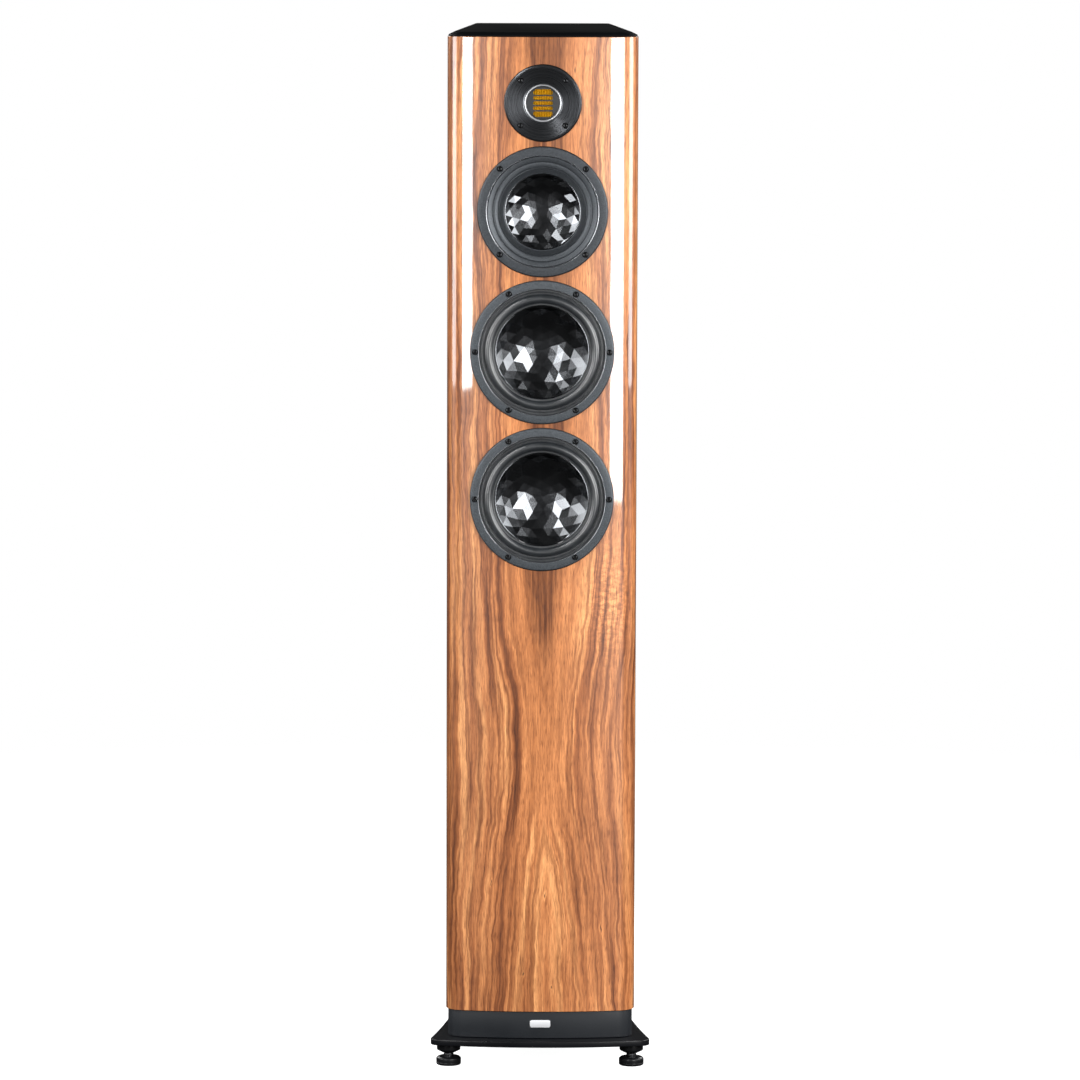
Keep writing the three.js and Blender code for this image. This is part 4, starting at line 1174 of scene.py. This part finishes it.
def round_net(flat, faces, dents, limit):
    """A flat mesh of the net's triangles, cut to a circle, and the layer that marks its sunk points."""
    mesh = bmesh.new()
    sunk = mesh.verts.layers.int.new("sunk")
    made = [mesh.verts.new((spot.x, 0, spot.y)) for spot in flat]
    for dent in dents:
        made[dent][sunk] = 1
    for face in faces:
        if min(flat[i].length for i in face) < limit * 1.05:
            mesh.faces.new([made[i] for i in face])
    loose = [v for v in mesh.verts if not v.link_faces]
    bmesh.ops.delete(mesh, geom=loose, context="VERTS")
    # Brings the outermost vertices in to the rim, and drops the triangles past it.
    outside = [f for f in mesh.faces if sum(1 for v in f.verts if v.co.length > limit) == 3]
    bmesh.ops.delete(mesh, geom=outside, context="FACES")
    for vertex in mesh.verts:
        if vertex.co.length > limit or vertex.is_boundary:
            vertex.co = vertex.co.normalized() * limit
    bmesh.ops.remove_doubles(mesh, verts=mesh.verts, dist=0.004)
    return mesh, sunk


def sink_net(mesh, sunk, driver, limit, dice):
    """Presses the flat net into the bowl, in metres, and folds it towards the rim."""
    arc = cone_arc(driver)
    for vertex in mesh.verts:
        share = vertex.co.length / limit
        radius = radius_at(share, *arc)
        heading = vertex.co.normalized() if vertex.co.length > 1e-6 else Vector((0, 0, 0))
        depth = cone_depth(driver, radius)
        if not vertex.is_boundary:
            depth += dice.uniform(-FACET_PLAY, FACET_PLAY)
            fold = FOLD_AT_RIM * max(0, (share - FOLD_START) / (1 - FOLD_START))
            depth += fold if vertex[sunk] else -fold / 2
        vertex.co = Vector((heading.x * radius, depth, heading.z * radius)) * MM


def thickened(mesh, thickness):
    """A solid from an open mesh, as deep as its thickness, with its front facing -Y."""
    bmesh.ops.recalc_face_normals(mesh, faces=mesh.faces)
    mesh.faces.ensure_lookup_table()
    if sum(face.normal.y * face.calc_area() for face in mesh.faces) > 0:
        bmesh.ops.reverse_faces(mesh, faces=mesh.faces)
    mesh.verts.index_update()
    count = len(mesh.verts)
    vertices = [tuple(v.co) for v in mesh.verts]
    vertices += [(x, y + thickness, z) for x, y, z in vertices]
    triangles = [[v.index for v in f.verts] for f in mesh.faces]
    triangles += [[i + count for i in reversed(face)] for face in triangles]
    for border in mesh.edges:
        if border.is_boundary:
            corner = border.link_loops[0]
            a, b = corner.vert.index, corner.link_loop_next.vert.index
            triangles.append([b, a, a + count, b + count])
    return vertices, triangles


def faceted_cone(name, driver, place):
    """A bowl of flat, slightly uneven triangles inside a fine round rim."""
    points, faces, dents = geodesic(FACET_FREQUENCY)
    edge = math.atan(2) / FACET_FREQUENCY
    limit = edge * FACET_ROWS
    dice = random.Random(CONE_SEEDS[name])
    mesh, sunk = round_net(shaken_net(points, edge, dice), faces, dents, limit)
    sink_net(mesh, sunk, driver, limit, dice)
    bowl = thickened(mesh, CONE_THICKNESS * MM)
    mesh.free()
    turns = [2 * math.pi * i / 12 for i in range(12)]
    bead = [((driver.cone - 0.7 + 0.7 * math.cos(turn)) * MM, (LIP_DEPTH + 0.9 + 0.8 * math.sin(turn)) * MM)
            for turn in turns]
    make(f"{name}_faceted_cone", merged([bowl, lathe(bead, ROUND_SEGMENTS)]), "cone_metal",
         f"{name}_moving", [f"{name}_cone"], place, sharp=1.5)


def spider(name, driver, place):
    inner, outer, depth = driver.coil + 0.6, driver.spider, driver.spider_depth
    waves, steps = 5, 8
    front = [(outer, depth, 0), (outer - 4, depth, 0)]
    for i in range(waves * steps + 1):
        radius = outer - 4.5 - (outer - 6.5 - inner) * i / (waves * steps)
        front.append((radius, depth - 1.0 * math.sin(2 * math.pi * i / steps), 0))
    front.append((inner, depth, 0))
    sheet = skin(front, 0.5)
    piece = flexible(f"{name}_corrugated_spider", sheet, HIDDEN_SEGMENTS, "spider_cloth", 60, place)
    flex(piece, f"{name}_moving", place, inner + 1, outer - 4)
    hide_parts(f"{name}_spider")


def motor(name, driver, place):
    """The magnet ring, and the yoke with the pole that stands up inside the coil."""
    bore, magnet = driver.coil + 4, driver.magnet
    start, depth = driver.ring_rear + 0.3, driver.magnet_depth
    turned(f"{name}_magnet_ring", [
        (bore, start, 0.8), (magnet, start, 1.5), (magnet, depth, 1.5), (bore, depth, 0.8),
    ], "ferrite", place, HIDDEN_SEGMENTS, stands_for=[f"{name}_magnet"])
    pole, front = driver.coil - 0.8 - 1.3, driver.ring_front + 1
    back, end = depth + 0.3, depth + 0.3 + driver.yoke
    turned(f"{name}_pole_yoke", [
        (0, front, 0), (pole, front, 0.8), (pole, back, 0.5), (magnet - 3, back, 0.5), (magnet - 3, end, 1.5),
        (12, end, 0.5), (11, end - 1, 0.5), (0, end - 1, 0),
    ], "motor_steel", place, HIDDEN_SEGMENTS, stands_for=[f"{name}_yoke"])


def drive_unit(name):
    """Everything of one cone driver."""
    driver = MIDRANGE if name == "midrange" else WOOFER
    place = (0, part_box(f"{name}_basket")[0][1], middle(f"{name}_basket")[2])
    basket(name, driver, place)
    surround(name, driver, place)
    faceted_cone(name, driver, place)
    coil, inner, rear = driver.coil, driver.coil - 0.8, driver.coil_depth
    front = cone_depth(driver, inner) + 1.8
    turned(f"{name}_former", [
        (inner, front, 0), (coil - 0.4, front, 0), (coil - 0.4, rear - 17, 0.1), (coil, rear - 16.6, 0.2),
        (coil, rear - 1, 0.2), (coil - 0.4, rear - 0.6, 0.1), (coil - 0.4, rear, 0), (inner, rear, 0),
    ], "copper_winding", place, HIDDEN_SEGMENTS, body=f"{name}_moving", stands_for=[f"{name}_voice_coil"])
    spider(name, driver, place)
    motor(name, driver, place)


# ---- Tweeter ----


def tweeter():
    place = (0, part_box("tweeter_faceplate")[0][1], middle("tweeter_faceplate")[2])
    grooves = []
    for i in range(GROOVES):
        start = 22.4 + GROOVE_PITCH * i
        grooves += [(start, 0.1 + GROOVE_DEPTH, 0), (start + GROOVE_PITCH - 0.05, 0.1, 0)]
    plate = turned("tweeter_plate", [
        (21.8, 0.6, 0.2), *grooves, (41.2, 0.6, 0.1), (41.7, 0.6, 0.1), (42.0, 0.1, 0.1), (44.0, 1.1, 0.4),
        (44.4, 1.8, 0.4), (44.4, 4.2, 0.2), (35, 4.2, 0.3), (35, 12, 0.5), (21.8, 12, 0.3),
    ], "tweeter_plate", place, stands_for=["tweeter_faceplate"])
    screw_circle("tweeter", plate, 4, 45, 36.5, 3.7, place, "tweeter_plate", 3.0, 2.9)
    turned("silver_trim_ring", [
        (19.7, 0.3, 0.2), (20.0, 0.2, 0.2), (20.2, -0.8, 0.4), (20.75, -1.1, 0.4), (21.3, -0.8, 0.4),
        (21.5, 0.2, 0.2), (21.5, 3, 0.2), (19.7, 3, 0.2),
    ], "trim_silver", place, stands_for=["tweeter_trim_ring"])
    pole = turned("slotted_pole_plate", [
        (0, 0.4, 0), (17.6, 0.4, 0.3), (18.0, 0.8, 0.2), (18.6, 0.8, 0.2), (19.0, 0.4, 0.3), (19.4, 0.7, 0.2),
        (19.4, 3, 0.2), (0, 3, 0),
    ], "pole_black", place, stands_for=["tweeter_pole_plate"])
    cut(pole, [pole_slot(*row) for row in window_rows()])
    foil(place)
    turned("tweeter_motor_block", [
        (0, 12.3, 0), (34, 12.3, 1), (34, 22, 0.5), (33.2, 22.4, 0.3), (33.2, 23, 0.3), (34, 23.4, 0.5),
        (34, 40, 1.5), (0, 40, 0),
    ], "motor_steel", place, stands_for=["tweeter_motor"])


def pole_slot(height, half_top, half_foot, low):
    """A six-sided bar along Y, to cut one slot of the pole plate with."""
    waist, high = low + height / 2, low + height
    outline = [(-half_foot, low), (half_foot, low), (11.7, waist), (half_top, high), (-half_top, high),
               (-11.7, waist)]
    vertices, faces = stack([([(x * MM, z * MM) for x, z in outline], h * MM) for h in (-4, 1)])
    return [(x, -h, z) for x, z, h in vertices], faces


def window_rows():
    """(height, half width at the top, half width at the foot, lower edge) of each slot, in millimetres."""
    bar = 1.45
    rows = [(6.5, 8.5, 10.6), (4.4, 10.3, 10.3), (4.4, 10.3, 10.3), (4.4, 10.3, 10.3), (6.5, 10.6, 8.5)]
    edge = (sum(row[0] for row in rows) + bar * (len(rows) - 1)) / 2
    placed = []
    for height, top, foot in rows:
        edge -= height
        placed.append((height, top, foot, edge))
        edge -= bar
    return placed


def foil(place):
    """The diaphragm: a gold film folded into upright pleats."""
    pleats, steps, half_width, half_height = 13, 10, 12.5, 16.2
    front = []
    for i in range(pleats * steps + 1):
        x = half_width * (2 * i / (pleats * steps) - 1)
        fold = math.cos(2 * math.pi * i / steps)
        front.append((x, 3.3 + 1.4 * (1 - math.copysign(abs(fold) ** 0.6, fold))))
    outline = [(x * MM, (y + 0.5) * MM) for x, y in reversed(front)] + [(x * MM, y * MM) for x, y in front]
    rows = 9
    sheet = stack([(outline, half_height * MM * (2 * i / (rows - 1) - 1)) for i in range(rows)])
    make("folded_gold_foil", sheet, "foil_gold", stands_for=["tweeter_diaphragm"], place=place, sharp=40)


# ---- The rear ----


def port(name):
    turned(f"{name}_flare", [
        (30, 20, 0.5), (34, 20, 0.5), (34, 125, 2), (40, 137, 2), (40, 155.3, 0.2), (46, 155.3, 0.4),
        (46, 157.2, 0.7), (44.6, 158, 0.5), (42.8, 158, 1.0), (38.6, 155.4, 3), (34.6, 149, 4),
        (31.6, 140, 5), (30, 126, 5),
    ], "port_plastic", (0, 0, middle(name)[2]), stands_for=[name])


def terminal_cup():
    low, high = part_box("terminal_plate")
    height = middle("terminal_plate")[2]
    front, rear = low[1] / MM, high[1] / MM
    floor, rim = front + 4, rear - 2.7
    half_x, half_z = (high[0] - low[0]) / 2 / MM, (high[2] - low[2]) / 2 / MM
    # Half width, half height, corner radius and depth of each layer: out round the rim, then into the dish.
    layers = [
        (48, 33, 3, front), (48, 33, 3, rim), (half_x, half_z, 5, rim), (half_x, half_z, 5, rear - 0.8),
        (half_x - 0.25, half_z - 0.25, 4.8, rear - 0.25), (half_x - 0.8, half_z - 0.8, 4.4, rear),
        (45, 30, 4, rear), (44.2, 29.2, 4, rear - 0.8), (44, 29, 4, rear - 2), (43, 28, 4, floor + 1),
        (42.2, 27.2, 3.6, floor + 0.2), (41, 26, 3, floor),
    ]
    vertices, faces = stack([(rounded_rectangle(x * MM, z * MM, r * MM), y * MM) for x, z, r, y in layers])
    vertices = [(-x, y, z + height) for x, z, y in vertices]
    cup = make("terminal_cup", (vertices, faces), "terminal_plastic", stands_for=["terminal_plate"], sharp=30)
    places = [(middle(f"terminal_post_{colour}")[0], 0, height) for colour in COLOURS]
    cut(cup, [drill(4.3 * MM, low[1] - 0.01, floor * MM + 0.01, place, SCREW_SEGMENTS) for place in places])
    for i, (side_x, side_z) in enumerate(((-1, -1), (1, -1), (-1, 1), (1, 1))):
        spot = (side_x * (half_x - 5.5) * MM, (rear + 0.9) * MM, height + side_z * (half_z - 5) * MM)
        socket_screw(f"terminal_cup_screw_{i + 1}", spot, "terminal_plastic", 2.6, rear=True)


def fluted(solid, flutes, beyond, depth):
    """Presses flutes along Y into whatever lies beyond a radius."""
    vertices = []
    for x, y, z in solid[0]:
        radius, angle = math.hypot(x, z), math.atan2(x, z)
        if radius > beyond:
            radius -= depth * max(0.0, math.cos(angle * flutes))
        vertices.append((radius * math.sin(angle), y, radius * math.cos(angle)))
    return vertices, solid[1]


def terminal(colour):
    x, _, z = middle(f"terminal_post_{colour}")
    place = (x, 0, z)
    collar = lathe(rounded([
        (0, 108, 0), (3.4, 108, 0.4), (3.4, 121.3, 0), (9, 121.3, 0.3), (9, 124.3, 0.6), (3.2, 124.3, 0),
        (0, 124.3, 0),
    ], closed=False), HIDDEN_SEGMENTS)
    screw, faces = thread(3.7 * MM, 0.45 * MM, 1.0 * MM, 124.2 * MM, 149 * MM)
    post = merged([collar, ([(y, z, x) for x, y, z in screw], faces)])
    make(f"post_{colour}", post, "terminal_gold", stands_for=[f"terminal_post_{colour}"], place=place)
    turned(f"washer_{colour}", [
        (4.3, 124.6, 0.2), (8.5, 124.6, 0.3), (8.5, 126.6, 0.5), (4.3, 126.6, 0.3),
    ], "terminal_gold", place, HIDDEN_SEGMENTS, body=f"terminal_{colour}_clamp",
        stands_for=[f"terminal_washer_{colour}"])
    cap = lathe(rounded([
        (4.3, 126.9, 0.2), (8.6, 126.9, 0.4), (9.0, 127.6, 0.3), (9.0, 129.2, 0.2), (9.5, 129.6, 0.3),
        (9.5, 143.6, 0.8), (8.6, 146, 0.9), (6.2, 146, 0.6), (5.6, 145, 0.4), (4.3, 144.6, 0.3),
    ]), 120)
    make(f"cap_{colour}", fluted(cap, 24, 9.2 * MM, 0.5 * MM), f"cap_{colour}", f"terminal_{colour}_cap",
         [f"terminal_cap_{colour}"], place, sharp=50)


def crossover():
    low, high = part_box("crossover_board")
    board = prism(rounded_rectangle(high[0], high[1], 4 * MM), low[2], high[2], 0.2 * MM)
    make("filter_board", board, "circuit_board", stands_for=["crossover_board"])
    x, y, _ = middle("crossover_coil")
    place = (x, y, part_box("crossover_coil")[0][2])
    turned("filter_coil", [(10, 0, 1.5), (22, 0, 2), (22, 18, 2), (10, 18, 1.5)], "copper_winding", place,
           HIDDEN_SEGMENTS, True, stands_for=["crossover_coil"])
    x, _, z = middle("crossover_capacitor")
    place = (x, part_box("crossover_capacitor")[0][1], z)
    turned("filter_capacitor", [
        (0, 0.4, 0), (9, 0.4, 0.3), (12, 0, 1.2), (12, 50, 1.2), (9, 49.6, 0.3), (0, 49.6, 0),
    ], "capacitor_sleeve", place, HIDDEN_SEGMENTS, stands_for=["crossover_capacitor"])


# ---- Camera, lights and floor ----


def camera():
    data = bpy.data.cameras.new("camera")
    data.sensor_width = 36
    data.lens = LENS
    data.clip_end = 100
    view = place_object("camera", data)
    turn = Matrix.Rotation(math.radians(-CAMERA_TURN), 4, "Z")
    pitch = Matrix.Rotation(math.radians(90 - CAMERA_PITCH), 4, "X")
    view.matrix_world = (Matrix.Translation(CAMERA_PLACE) @ turn @ pitch
                         @ Matrix.Rotation(math.radians(CAMERA_ROLL), 4, "Z"))
    bpy.context.scene.camera = view


def area_light(name, place, aim, width, height, watts):
    data = bpy.data.lights.new(name, "AREA")
    data.shape = "RECTANGLE"
    data.size, data.size_y = width, height
    data.energy = watts
    light = place_object(name, data)
    light.location = place
    light.rotation_euler = (Vector(aim) - Vector(place)).to_track_quat("-Z", "Y").to_euler()
    light.visible_camera = False


def studio():
    """Tall softboxes either side of the camera, lights at the sides and rear, and a dim surround."""
    for light in LIGHTS:
        area_light(*light)
    world = bpy.data.worlds.new("studio")
    world.use_nodes = True
    tree = world.node_tree
    path = tree.nodes.new("ShaderNodeLightPath")
    seen = tree.nodes.new("ShaderNodeMapRange")
    seen.inputs["To Min"].default_value = SURROUND_GLOW
    tree.links.new(path.outputs["Is Camera Ray"], seen.inputs["Value"])
    tree.links.new(seen.outputs[0], tree.nodes["Background"].inputs["Strength"])
    tree.nodes["Background"].inputs["Color"].default_value = (1, 1, 1, 1)
    bpy.context.scene.world = world
    bpy.context.scene.view_settings.view_transform = "Standard"


def floor():
    """A plain pale floor that fades out into the surround."""
    look = Look("pale_floor", Base_Color=(0.5, 0.5, 0.5), Roughness=0.9, Specular_IOR_Level=0.0)
    look.set(Emission_Color=(1, 1, 1), Emission_Strength=FLOOR_GLOW)
    reach = look.node("ShaderNodeVectorMath", "Value", {"operation": "LENGTH"}, i0=look.coords())
    look.set(Alpha=look.remap(reach, FLOOR_RADIUS * 0.4, FLOOR_RADIUS, 1.0, 0.0))
    mesh = bpy.data.meshes.new("pale_floor")
    corners = [2 * math.pi * i / ROUND_SEGMENTS for i in range(ROUND_SEGMENTS)]
    points = [(FLOOR_RADIUS * math.cos(turn), FLOOR_RADIUS * math.sin(turn), FLOOR_LEVEL) for turn in corners]
    mesh.from_pydata(points, [], [list(range(ROUND_SEGMENTS))])
    mesh.materials.append(look.material)
    ground = place_object("pale_floor", mesh)
    ground.visible_glossy = False
    ground.visible_diffuse = False


camera()
studio()
floor()
cabinet_wrap()
cabinet_boards()
top_plate()
plinth()
badge()
base_plate()
for corner in CORNERS:
    foot(corner)
for name in DRIVERS:
    drive_unit(name)
tweeter()
for name in PORTS:
    port(name)
terminal_cup()
for colour in COLOURS:
    terminal(colour)
crossover()
